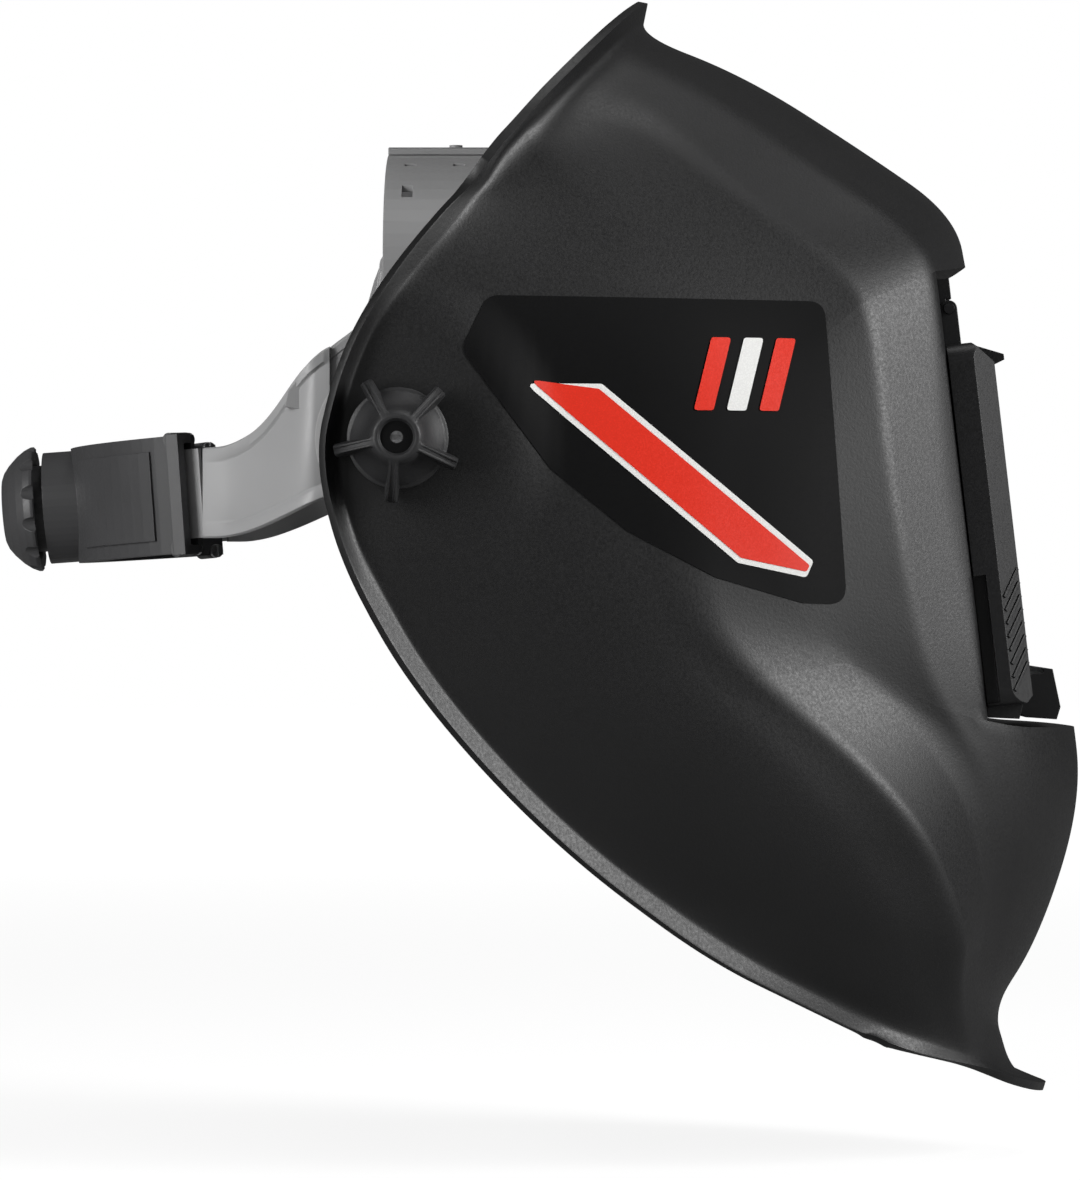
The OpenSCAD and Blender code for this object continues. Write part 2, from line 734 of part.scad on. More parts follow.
module pivot_arm(s) {
    color("#3d3f42")
        on_side(s) {
            on_pivot()
                difference() {
                    union() {
                        rod(19, arm_in, arm_out);
                        rod(head_r + 4, band_out + 1, arm_in + 1);
                        for (a = [0:60:359])
                            rotate([0, 0, a])
                                translate([head_r + 3, -1, band_out + 9])
                                    cube([18.5 - head_r - 3, 2, arm_in - band_out - 8]);
                    }
                    rod(head_r + 0.6, band_out - 5, arm_in);
                    rod(bolt_d / 2 + run_gap, 0, arm_out + 1);
                }
            on_band()
                difference() {
                    union() {
                        translate([-foot_half, band_out + run_gap, -band_h / 2 + 0.5])
                            cube([2 * foot_half, foot_t, band_h - 1]);
                        for (x = [-1, 1])
                            translate([x * peg_x, 0, 0])
                                on_pivot()
                                    rod(peg_r, head_half + 0.2, band_out + 1);
                    }
                    translate([0, 0, -band_rise])
                        on_pivot()
                            rod(head_r + 0.6, band_out - 5, arm_in);
                }
        }
}

// ---------- Headband ----------
band_rise = 3;      // height of the band's middle above the pivots, beside them
band_tilt = 14;     // how far the band slopes up towards the forehead
flat_back = -17;    // the sides are flat from here
flat_front = 24;    // to here
tail = [-28, -3.6]; // end of the band: place along X, and offset from the flat side
peg_x = 12;
peg_r = 2;
crown_foot = 50;    // height up to which the crown straps rise straight
crown_back = -5;
rivet_r = 2;

module on_band() {
    translate([0, 0, band_rise])
        rotate([0, -band_tilt, 0])
            children();
}

// Left half of the band's outline at a distance from its inner face, from front to back
function band_line(d, from) = concat(
    [for (a = [from:5:85])
        [flat_front + (head_front - flat_front + d) * cos(a), (head_half + d) * sin(a)]],
    [[flat_front, head_half + d], [flat_back, head_half + d], [tail.x, head_half + tail.y + d]]);
function flipped(p) = [for (i = [len(p) - 1:-1:0]) [p[i].x, -p[i].y]];
function turned(p) = [for (i = [len(p) - 1:-1:0]) p[i]];

module headband() {
    color("#5b6066")
        difference() {
            union() {
                on_band()
                    translate([0, 0, -band_h / 2])
                        linear_extrude(band_h)
                            polygon(concat(flipped(band_line(band_t, 5)), band_line(band_t, 0),
                                turned(band_line(0, 5)), turned(flipped(band_line(0, 0)))));
                for (s = [-1, 1])
                    on_side(s)
                        translate([0, band_out, 0])
                            rotate([90, 0, 0])
                                linear_extrude(band_t)
                                    polygon([[-24, -8], [-23.5, 8.6], [-32, 9.5], [-31, 14],
                                        [-25, 21.5], [-18.7, 26.2], [-13, 30.5], [-10, 35],
                                        [-7.5, crown_foot - 6], [crown_back + 0.5, crown_foot + 2],
                                        [crown_back + crown_w - 1, crown_foot + 2],
                                        [crown_back + crown_w - 6, 20], [flat_front, 6],
                                        [flat_front, 0]]);
            }
            for (s = [-1, 1])
                on_side(s) {
                    on_band()
                        for (x = [-1, 1])
                            translate([x * peg_x, 0, 0])
                                on_pivot()
                                    rod(peg_r + 0.1, head_half - 5, band_out + 5);
                    at_rivets()
                        rod(rivet_r + run_gap, head_half - 5, band_out + 5);
                }
        }
}

module at_rivets() {
    for (x = [0.2, 0.8])
        translate([crown_back + x * crown_w, 0, crown_foot - 5])
            on_pivot()
                children();
}

module crown_rivets() {
    color("#8d9094")
        for (s = [-1, 1])
            on_side(s)
                at_rivets() {
                    rod(rivet_r, head_half - 0.5, band_out + fit + crown_t + 0.5);
                    rod(rivet_r + 1.4, head_half - 1.2, head_half - run_gap);
                    rod(rivet_r + 1.4, band_out + fit + crown_t + run_gap, band_out + fit + crown_t + 1.1);
                }
}

// Arch over the head from the foot on the left to past the top, seen along X
crown_past = 22;    // degrees past the top
function arch(d, rise) = [for (a = [0:6:90 + crown_past])
    [(band_out + fit + d) * cos(a), crown_foot + (crown_top - crown_foot + rise + d) * sin(a)]];

module crown_strap(s, layer) {
    rise = layer * (crown_t + fit);
    color("#74797f")
        on_side(s)
            difference() {
                translate([crown_back, 0, 0])
                    rotate([90, 0, 90])
                        linear_extrude(crown_w)
                            polygon(concat([[band_out + fit, crown_foot - 11]], arch(0, rise),
                                turned(arch(crown_t, rise)), [[band_out + fit + crown_t, crown_foot - 11]]));
                at_rivets()
                    rod(rivet_r + run_gap, head_half - 5, band_out + 9);
                for (x = [0.18, 0.54])
                    translate([crown_back + x * crown_w - 1.6, band_out - 36, crown_foot])
                        cube([3.2, 3.2, crown_top]);
                translate([crown_back + 0.13 * crown_w, band_out - 16, crown_foot])
                    cube([3, 6, crown_top]);
                if (layer > 0)
                    for (y = [-12:8:12])
                        translate([crown_back + crown_w / 2, y, 0])
                            rod(2.2, crown_foot, crown_top + 20);
            }
    if (layer == 0)
        color("#74797f")
            for (y = [-4, 4])
                translate([crown_back + crown_w / 2, y, 0])
                    rod(1.9, crown_top + 0.5, crown_top + 2 * crown_t + fit + 0.8);
}

module brow_pad() {
    d = -fit;
    reach = 65;
    function line(off) = [for (a = [-reach:5:reach])
        [flat_front + (head_front - flat_front + off) * cos(a), (head_half + off) * sin(a)]];
    color("#2a2b2d")
        on_band()
            translate([0, 0, -band_h / 2 - 1])
                linear_extrude(band_h + 2)
                    polygon(concat(line(d), turned(line(d - brow_pad_t))));
}

// ---------- Ratchet at the back of the head ----------
rear_at = [-30.4, 0, -11.8];
rear_tilt = 4.2;
mouth_a = 62;       // degrees from the back to each mouth of the housing
rack_gap = 0.3;
inner_rack = rear_r - rack_gap / 2 - rack_t;
outer_rack = rear_r + rack_gap / 2;
inner_wall = 1.8;   // thickness of the ratchet's inner cover
cover_out = inner_rack - fit;
cover_in = cover_out - inner_wall;
channel_out = outer_rack + rack_t + fit;
house_out = channel_out + housing_wall;
collar_out = house_out + 8.15;
neck_out = collar_out + 5.2;
knob_near = collar_out + 2.3;
knob_far = knob_near + size_knob_l;
shaft_r = 4;
pawl_r = 12;        // radius of the notched ring in the collar
pitch_r = pinion_teeth / 2;
tooth_t = 1.2;      // tooth thickness on the pitch line
tip = 0.8;          // tooth height above the pitch line
root = 1.15;        // and depth below it
flank = tan(20);
rack_end = 65;      // degrees to the outer end of a toothed end
slot_back = 20;     // degrees of slot past the pinion
slot_front = 13.5;  // and before it
seam = 0.1;         // seam between the housing and its cover
boss_r = 2.1;
boss_at = [mouth_a - 2.6, housing_h / 2 - 1.2]; // degrees to the screws, and their height

module on_ratchet() {
    translate(rear_at)
        rotate([0, -rear_tilt, 0])
            children();
}

// Places children on the radius at an angle a to the right of the back, z running outwards
module on_radius(a, h) {
    rotate([0, 0, a])
        rotate([0, -90, 0])
            translate([h, 0, 0])
                children();
}

// Ring segment from angle a1 to a2 to the right of the back, between heights z1 and z2
module arc(r1, r2, z1, z2, a1, a2) {
    rotate([0, 0, 180 + a1])
        rotate_extrude(angle = a2 - a1, $fn = 96)
            translate([r1, z1])
                square([r2 - r1, z2 - z1]);
}

module ratchet_housing() {
    h = housing_h / 2;
    band = 3.4;
    color("#202123")
        on_ratchet()
            difference() {
                union() {
                    arc(cover_out + seam, house_out, -h, h, -mouth_a + 0.2, mouth_a - 0.2);
                    for (s = [-1, 1]) {
                        arc(cover_out + seam, house_out + 1.1, -h - 0.4, h + 0.4,
                            s * (mouth_a - band / 2) - band / 2, s * (mouth_a - band / 2) + band / 2);
                        arc(house_out - 1, house_out + 0.7, -h + 4, h - 4, s * 37 - 16, s * 37 + 16);
                        for (z = [-1, 1])
                            on_radius(s * boss_at.x, z * boss_at.y)
                                rod(boss_r, cover_out + 0.2, house_out + 0.9);
                    }
                    on_radius(0, 0) {
                        rod(h - 0.4, house_out - 3.5, collar_out);
                        rod(12.5, collar_out - 1, neck_out);
                    }
                }
                arc(cover_out - 1, channel_out, -h + housing_wall, h - housing_wall,
                    -mouth_a - 2, mouth_a + 2);
                on_radius(0, 0) {
                    rod(pawl_r, cover_out - 1, collar_out - 1.8);
                    rod(shaft_r + run_gap, cover_out, neck_out + 1);
                    for (k = [0:23])
                        rotate([0, 0, 15 * k])
                            translate([pawl_r, 0, 0])
                                rod(0.9, house_out, collar_out - 1.8);
                }
                for (s = [-1, 1], z = [-1, 1])
                    on_radius(s * boss_at.x, z * boss_at.y)
                        rod(1.05, cover_out - 1, house_out);
            }
}

module ratchet_cover() {
    h = housing_h / 2;
    color("#2b2c2e")
        on_ratchet()
            difference() {
                union() {
                    arc(cover_in, cover_out, -h, h, -mouth_a, mouth_a);
                    for (s = [-1, 1], z = [-1, 1])
                        on_radius(s * boss_at.x, z * boss_at.y)
                            rod(boss_r, cover_in + 0.2, cover_out - 0.15);
                }
                on_radius(0, 0)
                    rod(3 + run_gap, cover_in - 5, cover_out + 5);
                for (s = [-1, 1], z = [-1, 1])
                    on_radius(s * boss_at.x, z * boss_at.y)
                        rod(1.3, cover_in - 5, cover_out + 5);
            }
}

module cover_screws() {
    color("silver")
        on_ratchet()
            for (s = [-1, 1], z = [-1, 1])
                on_radius(s * boss_at.x, z * boss_at.y)
                    translate([0, 0, cover_in - 0.2])
                        mirror([0, 0, 1])
                            screw(1, 6, 2, 1.2);
}

module rear_pad() {
    color("#2a2b2d")
        on_ratchet()
            arc(cover_in - fit - rear_pad_t, cover_in - fit, -strap_h / 2, strap_h / 2, -44, 44);
}

// Toothed end of the strap on side s: teeth on the edge of its slot at height s2 (1 up, -1 down)
module toothed_end(s, r_in) {
    mid = r_in + rack_t / 2;
    pitch = 180 / mid;
    up = -s;
    a1 = -slot_back - 4.5;
    color("#6d7278")
        on_ratchet()
            on_side(-s)
                mirror([0, 0, up > 0 ? 0 : 1]) {
                    difference() {
                        arc(r_in, r_in + rack_t, -strap_h / 2, strap_h / 2, a1, rack_end);
                        arc(r_in - 1, r_in + rack_t + 1, -pitch_r - tip - 0.4, pitch_r + root,
                            -slot_back, slot_front);
                    }
                    for (k = [-floor(slot_back / pitch):floor(slot_front / pitch) - 1])
                        rotate([0, 0, (k + 0.5) * pitch])
                            rotate([0, -90, 0])
                                translate([0, 0, r_in + 0.02])
                                    linear_extrude(rack_t - 0.04)
                                        rack_tooth();
                }
}

// Trapezoid tooth pointing down from the slot's upper edge; x is height, y runs along the rack
module rack_tooth() {
    base = tooth_t / 2 + root * flank;
    point = tooth_t / 2 - tip * flank;
    polygon([[pitch_r + root + 0.1, -base], [pitch_r - tip, -point], [pitch_r - tip, point],
        [pitch_r + root + 0.1, base]]);
}

module pinion_shaft() {
    root_r = pitch_r - root;
    base = tooth_t / 2 + (root + 0.3) * flank;
    point = tooth_t / 2 - tip * flank;
    color("silver")
        on_ratchet()
            on_radius(0, 0)
                difference() {
                    union() {
                        rod(3, cover_in + 0.2, cover_out + 0.3);
                        rod(root_r, inner_rack - 0.1, channel_out - 0.1);
                        for (k = [0:pinion_teeth - 1])
                            rotate([0, 0, 360 * k / pinion_teeth])
                                translate([0, 0, inner_rack - 0.1])
                                    linear_extrude(channel_out - inner_rack)
                                        polygon([[root_r - 0.3, -base], [pitch_r + tip, -point],
                                            [pitch_r + tip, point], [root_r - 0.3, base]]);
                        rod(shaft_r, channel_out - 0.2, knob_near + 5.8);
                    }
                    rod(1.5, knob_near - 3, knob_near + 9);
                }
}

module pawl_spring() {
    z = house_out + 1.5;
    color("silver")
        on_ratchet()
            on_radius(0, 0) {
                tube(5.6, shaft_r + 0.1, z, z + 3);
                for (a = [0, 180])
                    rotate([0, 0, a])
                        difference() {
                            translate([5.2, -0.5, z])
                                cube([6.3, 1, 3]);
                            rod(shaft_r + 0.1, z - 1, z + 4);
                        }
            }
}

module size_knob() {
    r = size_knob_r;
    l = size_knob_l;
    color("#17181a")
        on_ratchet()
            on_radius(0, 0)
                difference() {
                    translate([0, 0, knob_near])
                        rotate_extrude()
                            polygon([[0, 3.6], [13.4, 3.6], [14.6, 0.5], [r - 0.5, 0], [r, 0.4],
                                [r, 0.12 * l], [r - 0.9, 0.32 * l], [r - 2.5, 0.54 * l],
                                [r - 4.9, 0.78 * l], [r - 6.9, 0.93 * l], [r - 8.6, l], [0, l]]);
                    for (k = [0:11])
                        rotate([0, 0, 30 * k + 15])
                            translate([r + 1, 0, 0])
                                rod(2.4, knob_near - 1, knob_far + 1);
                    rod(shaft_r + 0.1, knob_near, knob_near + 6);
                    rod(1.7, knob_near, knob_far + 1);
                    rod(3.9, knob_near + 7.7, knob_far + 1);
                }
}

module knob_screw() {
    color("silver")
        on_ratchet()
            on_radius(0, 0)
                translate([0, 0, knob_near + 7.7])
                    screw(1.45, 9, 3.4, 1.6);
}

// ---------- Flexible straps from the headband to the ratchet ----------
strap_t = 1.6;
// Middle of the strap from the headband back to the ratchet; y is measured from the headband
rack_out = [rear_at.x - rear_r * cos(rack_end), rear_r * sin(rack_end)];
strap_path = [[-19.5, band_out + 1.4, -2], [-27, band_out + 1, -4.5],
    [-43, (band_out + rack_out.y) / 2 - 3.3, -10.5], [rack_out.x + 1, rack_out.y + 1, -13.6]];
module strap(s) {
    steps = 12;
    path = [for (i = [0:steps]) spline(strap_path, 3 * i / steps)];
    color("#74797f")
        on_side(s)
            sweep([for (i = [0:steps])
                let (t = heading(path, i), n = unit([-t.y, t.x, 0]) * strap_t / 2, z = [0, 0, strap_h / 2])
                [path[i] + n - z, path[i] + n + z, path[i] - n + z, path[i] - n - z]]);
}

shell();
window_frame();
clear_plate();
plate_gasket();
window_retainer();
retainer_screws();
plate_spring();
hinge_bracket();
bracket_screws();
hinge_pin();
hinge_spring();
flip_frame();
dark_filter();
filter_gasket();
filter_spring();
cover_plate();
cover_clips();
pivot_bush(-1);  // pivot_bush_right
pivot_bush(1);  // pivot_bush_left
outer_washer(-1);  // outer_washer_right
outer_washer(1);  // outer_washer_left
tension_knob(-1);  // tension_knob_right
tension_knob(1);  // tension_knob_left
pivot_bolt(-1);  // pivot_bolt_right
pivot_bolt(1);  // pivot_bolt_left
pivot_disc(-1);  // pivot_disc_right
pivot_disc(1);  // pivot_disc_left
pivot_arm(-1);  // pivot_arm_right
pivot_arm(1);  // pivot_arm_left
headband();
crown_strap(-1, 0);  // crown_strap_right
crown_strap(1, 1);  // crown_strap_left
crown_rivets();
brow_pad();
strap(-1);  // strap_right
strap(1);  // strap_left
toothed_end(-1, inner_rack);  // toothed_end_right
toothed_end(1, outer_rack);  // toothed_end_left
ratchet_housing();
ratchet_cover();
cover_screws();
rear_pad();
size_knob();
pinion_shaft();
pawl_spring();
knob_screw();
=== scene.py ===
import json
import math

import bmesh
import bpy
import numpy as np
from mathutils import Matrix, Vector, bvhtree, geometry


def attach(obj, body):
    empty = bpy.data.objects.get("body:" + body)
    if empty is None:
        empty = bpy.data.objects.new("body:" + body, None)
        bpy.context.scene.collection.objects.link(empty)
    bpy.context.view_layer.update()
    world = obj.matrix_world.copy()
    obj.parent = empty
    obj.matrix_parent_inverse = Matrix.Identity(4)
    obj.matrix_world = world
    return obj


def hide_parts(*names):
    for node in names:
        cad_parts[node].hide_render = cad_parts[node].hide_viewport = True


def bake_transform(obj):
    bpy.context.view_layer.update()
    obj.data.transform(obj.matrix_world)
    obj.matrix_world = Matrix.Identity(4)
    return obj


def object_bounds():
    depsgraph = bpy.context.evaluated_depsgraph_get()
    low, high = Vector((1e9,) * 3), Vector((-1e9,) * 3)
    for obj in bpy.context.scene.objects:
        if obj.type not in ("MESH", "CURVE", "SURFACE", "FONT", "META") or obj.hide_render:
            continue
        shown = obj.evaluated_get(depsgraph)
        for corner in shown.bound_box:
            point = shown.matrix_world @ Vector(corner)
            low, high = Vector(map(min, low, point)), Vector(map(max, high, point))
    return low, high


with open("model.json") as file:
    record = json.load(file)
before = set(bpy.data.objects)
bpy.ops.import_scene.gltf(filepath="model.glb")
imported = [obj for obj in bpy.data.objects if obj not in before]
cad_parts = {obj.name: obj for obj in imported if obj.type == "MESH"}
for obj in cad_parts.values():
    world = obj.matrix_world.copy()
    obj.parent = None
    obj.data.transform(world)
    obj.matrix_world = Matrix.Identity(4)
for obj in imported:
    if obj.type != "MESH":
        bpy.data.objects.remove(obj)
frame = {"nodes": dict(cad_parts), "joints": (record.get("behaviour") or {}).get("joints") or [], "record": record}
CAD_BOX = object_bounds()

# Lengths below are in millimetres in the part's own frame: +X the way the wearer faces,
# +Y the wearer's left, +Z up, origin midway between the pivots.
MM = 0.001
JOINTS = {joint["name"]: joint for joint in frame["joints"]}


# ---------------------------------------------------------------- places
def joint_place(name):
    """Joint position in millimetres and its axis."""
    joint = JOINTS[name]
    return Vector(joint["pos_m"]) / MM, Vector(joint["axis"]).normalized()


def place_matrix(origin, x_axis, y_axis, z_axis):
    """Matrix that takes local points to the part's frame."""
    made = Matrix.Identity(4)
    for column, axis in enumerate((x_axis, y_axis, z_axis, origin)):
        for row in range(3):
            made[row][column] = axis[row]
    return made


HINGE_AT, _ = joint_place("frame_flip")
WINDOW_LEAN = math.radians(6.6)
WINDOW_OUT = Vector((math.cos(WINDOW_LEAN), 0, math.sin(WINDOW_LEAN)))
WINDOW_UP = Vector((-math.sin(WINDOW_LEAN), 0, math.cos(WINDOW_LEAN)))
HINGE_UP, HINGE_OUT = 61.2, 2.6  # from the middle of the window to the hinge pin
WINDOW_AT = HINGE_AT - WINDOW_UP * HINGE_UP - WINDOW_OUT * HINGE_OUT
WINDOW = place_matrix(WINDOW_AT, Vector((0, 1, 0)), WINDOW_UP, WINDOW_OUT)

RATCHET_AT, RATCHET_FORWARD = joint_place("size_turn")
_, RATCHET_UP = joint_place("strap_feed_right")


def pivot_place(side):
    """Place of a side pivot: z runs outwards from the mid plane, x forwards. side is 1 on the left."""
    return place_matrix(Vector((0, 0, 0)), Vector((1, 0, 0)), Vector((0, 0, side)), Vector((0, side, 0)))


# ---------------------------------------------------------------- mesh helpers
def make_object(name, points, faces, material, smooth_angle=35.0):
    """Mesh object from points in millimetres, shaded smooth except over edges sharper than smooth_angle."""
    mesh = bpy.data.meshes.new(name)
    mesh.from_pydata([Vector(p) * MM for p in points], [], faces)
    mesh.validate()
    made = bpy.data.objects.new(name, mesh)
    bpy.context.scene.collection.objects.link(made)
    mesh.materials.append(material)
    soften(made, smooth_angle)
    return made


def soften(made, smooth_angle=35.0):
    """Outward normals and smooth shading up to an angle."""
    work = bmesh.new()
    work.from_mesh(made.data)
    bmesh.ops.recalc_face_normals(work, faces=work.faces)
    work.to_mesh(made.data)
    work.free()
    made.data.polygons.foreach_set("use_smooth", [True] * len(made.data.polygons))
    made.data.set_sharp_from_angle(angle=math.radians(smooth_angle))


def apply_modifiers(made):
    """Replaces the mesh by its evaluated form."""
    evaluated = made.evaluated_get(bpy.context.evaluated_depsgraph_get())
    mesh = bpy.data.meshes.new_from_object(evaluated)
    old = made.data
    made.modifiers.clear()
    made.data = mesh
    bpy.data.meshes.remove(old)


def bevel(made, width, segments=3, angle=40.0):
    """Rounds the edges sharper than angle and keeps the result."""
    modifier = made.modifiers.new("round", "BEVEL")
    modifier.width = width * MM
    modifier.segments = segments
    modifier.limit_method = "ANGLE"
    modifier.angle_limit = math.radians(angle)
    modifier.use_clamp_overlap = True
    apply_modifiers(made)
    soften(made)


def cut_away(made, cutters):
    """Cuts the cutters out of the piece and deletes them."""
    for cutter in cutters:
        modifier = made.modifiers.new("cut", "BOOLEAN")
        modifier.operation = "DIFFERENCE"
        modifier.solver = "EXACT"
        modifier.object = cutter
    apply_modifiers(made)
    for cutter in cutters:
        bpy.data.objects.remove(cutter)


def placed(points, place):
    """Points moved from a local place into the part's frame."""
    return [place @ Vector(p) for p in points]


def box_points(low, high):
    """Points and faces of a box between two opposite corners."""
    corners = [(x, y, z) for x in (low[0], high[0]) for y in (low[1], high[1]) for z in (low[2], high[2])]
    faces = [(0, 1, 3, 2), (4, 6, 7, 5), (0, 4, 5, 1), (2, 3, 7, 6), (0, 2, 6, 4), (1, 5, 7, 3)]
    return corners, faces


def loft(rings, closed_ends=True):
    """Points and faces over a row of rings of equal length."""
    count = len(rings[0])
    points = [p for ring in rings for p in ring]
    faces = []
    for i in range(len(rings) - 1):
        for k in range(count):
            a, b = i * count + k, i * count + (k + 1) % count
            faces.append((a, b, b + count, a + count))
    if closed_ends:
        faces.append(tuple(reversed(range(count))))
        faces.append(tuple(range((len(rings) - 1) * count, len(rings) * count)))
    return points, faces


def ring_angles(steps):
    """Evenly spaced angles of a full turn."""
    return [2 * math.pi * k / steps for k in range(steps)]


def lathe(profile, steps=96, turned=0.0):
    """Rings of a profile of (radius, height) turned about z, starting at the angle turned."""
    return [
        [(r * math.cos(a + turned), r * math.sin(a + turned), h) for a in ring_angles(steps)]
        for r, h in profile
    ]


def joined(parts):
    """One list of points and one of faces from several."""
    points, faces = [], []
    for some_points, some_faces in parts:
        base = len(points)
        points += list(some_points)
        faces += [tuple(base + i for i in face) for face in some_faces]
    return points, faces


# ---------------------------------------------------------------- materials
class Nodes:
    """Small builder for a procedural material."""

    def __init__(self, name):
        self.material = bpy.data.materials.new(name)
        self.material.use_nodes = True
        self.tree = self.material.node_tree
        self.shader = self.tree.nodes["Principled BSDF"]
        self.coords = self.tree.nodes.new("ShaderNodeTexCoord")

    def add(self, kind, inputs=(), **settings):
        """New node; inputs are values or other nodes' outputs."""
        node = self.tree.nodes.new(kind)
        for key, value in settings.items():
            setattr(node, key, value)
        for key, value in dict(inputs).items():
            if isinstance(value, bpy.types.NodeSocket):
                self.tree.links.new(value, node.inputs[key])
            else:
                node.inputs[key].default_value = value
        return node

    def noise(self, scale, detail=3.0, roughness=0.55):
        """Noise in the piece's own coordinates, scale per metre."""
        node = self.add("ShaderNodeTexNoise", {"Vector": self.coords.outputs["Object"], "Scale": scale,
                                               "Detail": detail, "Roughness": roughness})
        return node.outputs["Fac"]

    def mix_colour(self, factor, low, high):
        """Colour between low and high."""
        ramp = self.add("ShaderNodeMix", data_type="RGBA")
        for socket, value in ((ramp.inputs[0], factor), (ramp.inputs[6], low), (ramp.inputs[7], high)):
            if isinstance(value, bpy.types.NodeSocket):
                self.tree.links.new(value, socket)
            else:
                socket.default_value = value
        return ramp.outputs[2]

    def remap(self, value, low, high, from_low=0.3, from_high=0.7):
        """Value stretched from one range onto another."""
        node = self.add("ShaderNodeMapRange", {"Value": value, "From Min": from_low, "From Max": from_high,
                                               "To Min": low, "To Max": high})
        return node.outputs["Result"]

    def bump(self, height, distance, strength=1.0, base=None):
        """Normal roughened by a height, on top of the normal base."""
        inputs = {"Height": height, "Distance": distance, "Strength": strength}
        if base is not None:
            inputs["Normal"] = base
        return self.add("ShaderNodeBump", inputs).outputs["Normal"]

    def rounded_edges(self, radius):
        """Normal that looks like a small radius on every edge."""
        return self.add("ShaderNodeBevel", {"Radius": radius * MM}, samples=4).outputs["Normal"]

    def link(self, output, name):
        """Joins an output to an input of the surface."""
        self.tree.links.new(output, self.shader.inputs[name])


def rgba(colour, share=1.0):
    """Colour times a share, with full opacity."""
    return (colour[0] * share, colour[1] * share, colour[2] * share, 1.0)


def plastic(name, colour, roughness, grain=0.9, grain_depth=0.02, patch=0.12, specular=0.5, edges=0.35):
    """Moulded plastic: a grain of grain millimetres, faint patches in colour and gloss."""
    made = Nodes(name)
    fine = made.noise(1000.0 / grain, 4.0, 0.6)
    broad = made.noise(28.0, 3.0, 0.5)
    made.link(made.mix_colour(made.remap(broad, 0, 1), rgba(colour, 1 - patch), rgba(colour, 1 + patch)),
              "Base Color")
    made.link(made.remap(fine, roughness - 0.07, roughness + 0.09), "Roughness")
    made.shader.inputs["Specular IOR Level"].default_value = specular
    base = made.rounded_edges(edges) if edges else None
    made.link(made.bump(fine, grain_depth * MM, 1.0, base), "Normal")
    return made.material


def metal(name, colour, roughness, brushed=60.0):
    """Plated steel with fine drawing lines and a few dull spots."""
    made = Nodes(name)
    stretched = made.add("ShaderNodeMapping", {"Vector": made.coords.outputs["Object"],
                                               "Scale": (brushed, brushed * 14, brushed * 14)})
    lines = made.add("ShaderNodeTexNoise", {"Vector": stretched.outputs["Vector"], "Scale": 12.0,
                                            "Detail": 3.0}).outputs["Fac"]
    spots = made.noise(420.0, 2.0)
    made.link(made.mix_colour(made.remap(spots, 0, 1), rgba(colour, 0.86), rgba(colour, 1.04)), "Base Color")
    made.link(made.remap(lines, roughness - 0.08, roughness + 0.12), "Roughness")
    made.shader.inputs["Metallic"].default_value = 1.0
    made.link(made.bump(lines, 0.004 * MM, 1.0, made.rounded_edges(0.2)), "Normal")
    return made.material


def clear_plastic(name, colour, roughness, scratches=0.03):
    """Transparent plate with faint wiping marks."""
    made = Nodes(name)
    marks = made.noise(90.0, 6.0, 0.7)
    made.link(made.remap(marks, roughness, roughness + scratches, 0.45, 0.8), "Roughness")
    made.link(made.mix_colour(made.remap(marks, 0, 1), rgba(colour), rgba(colour, 0.96)), "Base Color")
    made.shader.inputs["Transmission Weight"].default_value = 1.0
    made.shader.inputs["IOR"].default_value = 1.5
    return made.material


def dark_glass(name, dark, pale):
    """Nearly black filter glass with a colour that drifts between two."""
    made = Nodes(name)
    made.link(made.mix_colour(made.remap(made.noise(60.0), 0, 1), rgba(dark), rgba(pale)), "Base Color")
    made.link(made.remap(made.noise(120.0, 5.0), 0.1, 0.18), "Roughness")
    made.shader.inputs["Specular IOR Level"].default_value = 0.25
    return made.material


def foam(name, colour, pore, depth, sheen=0.3):
    """Foam or knitted facing: small cells, soft sheen."""
    made = Nodes(name)
    cells = made.add("ShaderNodeTexVoronoi", {"Vector": made.coords.outputs["Object"],
                                              "Scale": 1000.0 / pore}).outputs["Distance"]
    broad = made.noise(45.0, 3.0)
    made.link(made.mix_colour(made.remap(broad, 0, 1), rgba(colour, 0.8), rgba(colour, 1.25)), "Base Color")
    made.link(made.remap(cells, 0.98, 0.8, 0.0, 0.7), "Roughness")
    made.shader.inputs["Sheen Weight"].default_value = sheen
    made.link(made.bump(cells, depth * MM), "Normal")
    return made.material


def printed(name, colour, roughness, specular=0.5):
    """Printed film: even ink under a satin varnish with a little sparkle."""
    made = Nodes(name)
    speckle = made.noise(2600.0, 2.0, 0.5)
    made.link(made.mix_colour(made.remap(speckle, 0, 1, 0.45, 0.75), rgba(colour, 0.97), rgba(colour, 1.12)),
              "Base Color")
    made.link(made.remap(speckle, roughness - 0.08, roughness + 0.08), "Roughness")
    made.link(made.bump(speckle, 0.008 * MM), "Normal")
    made.shader.inputs["Specular IOR Level"].default_value = specular
    return made.material


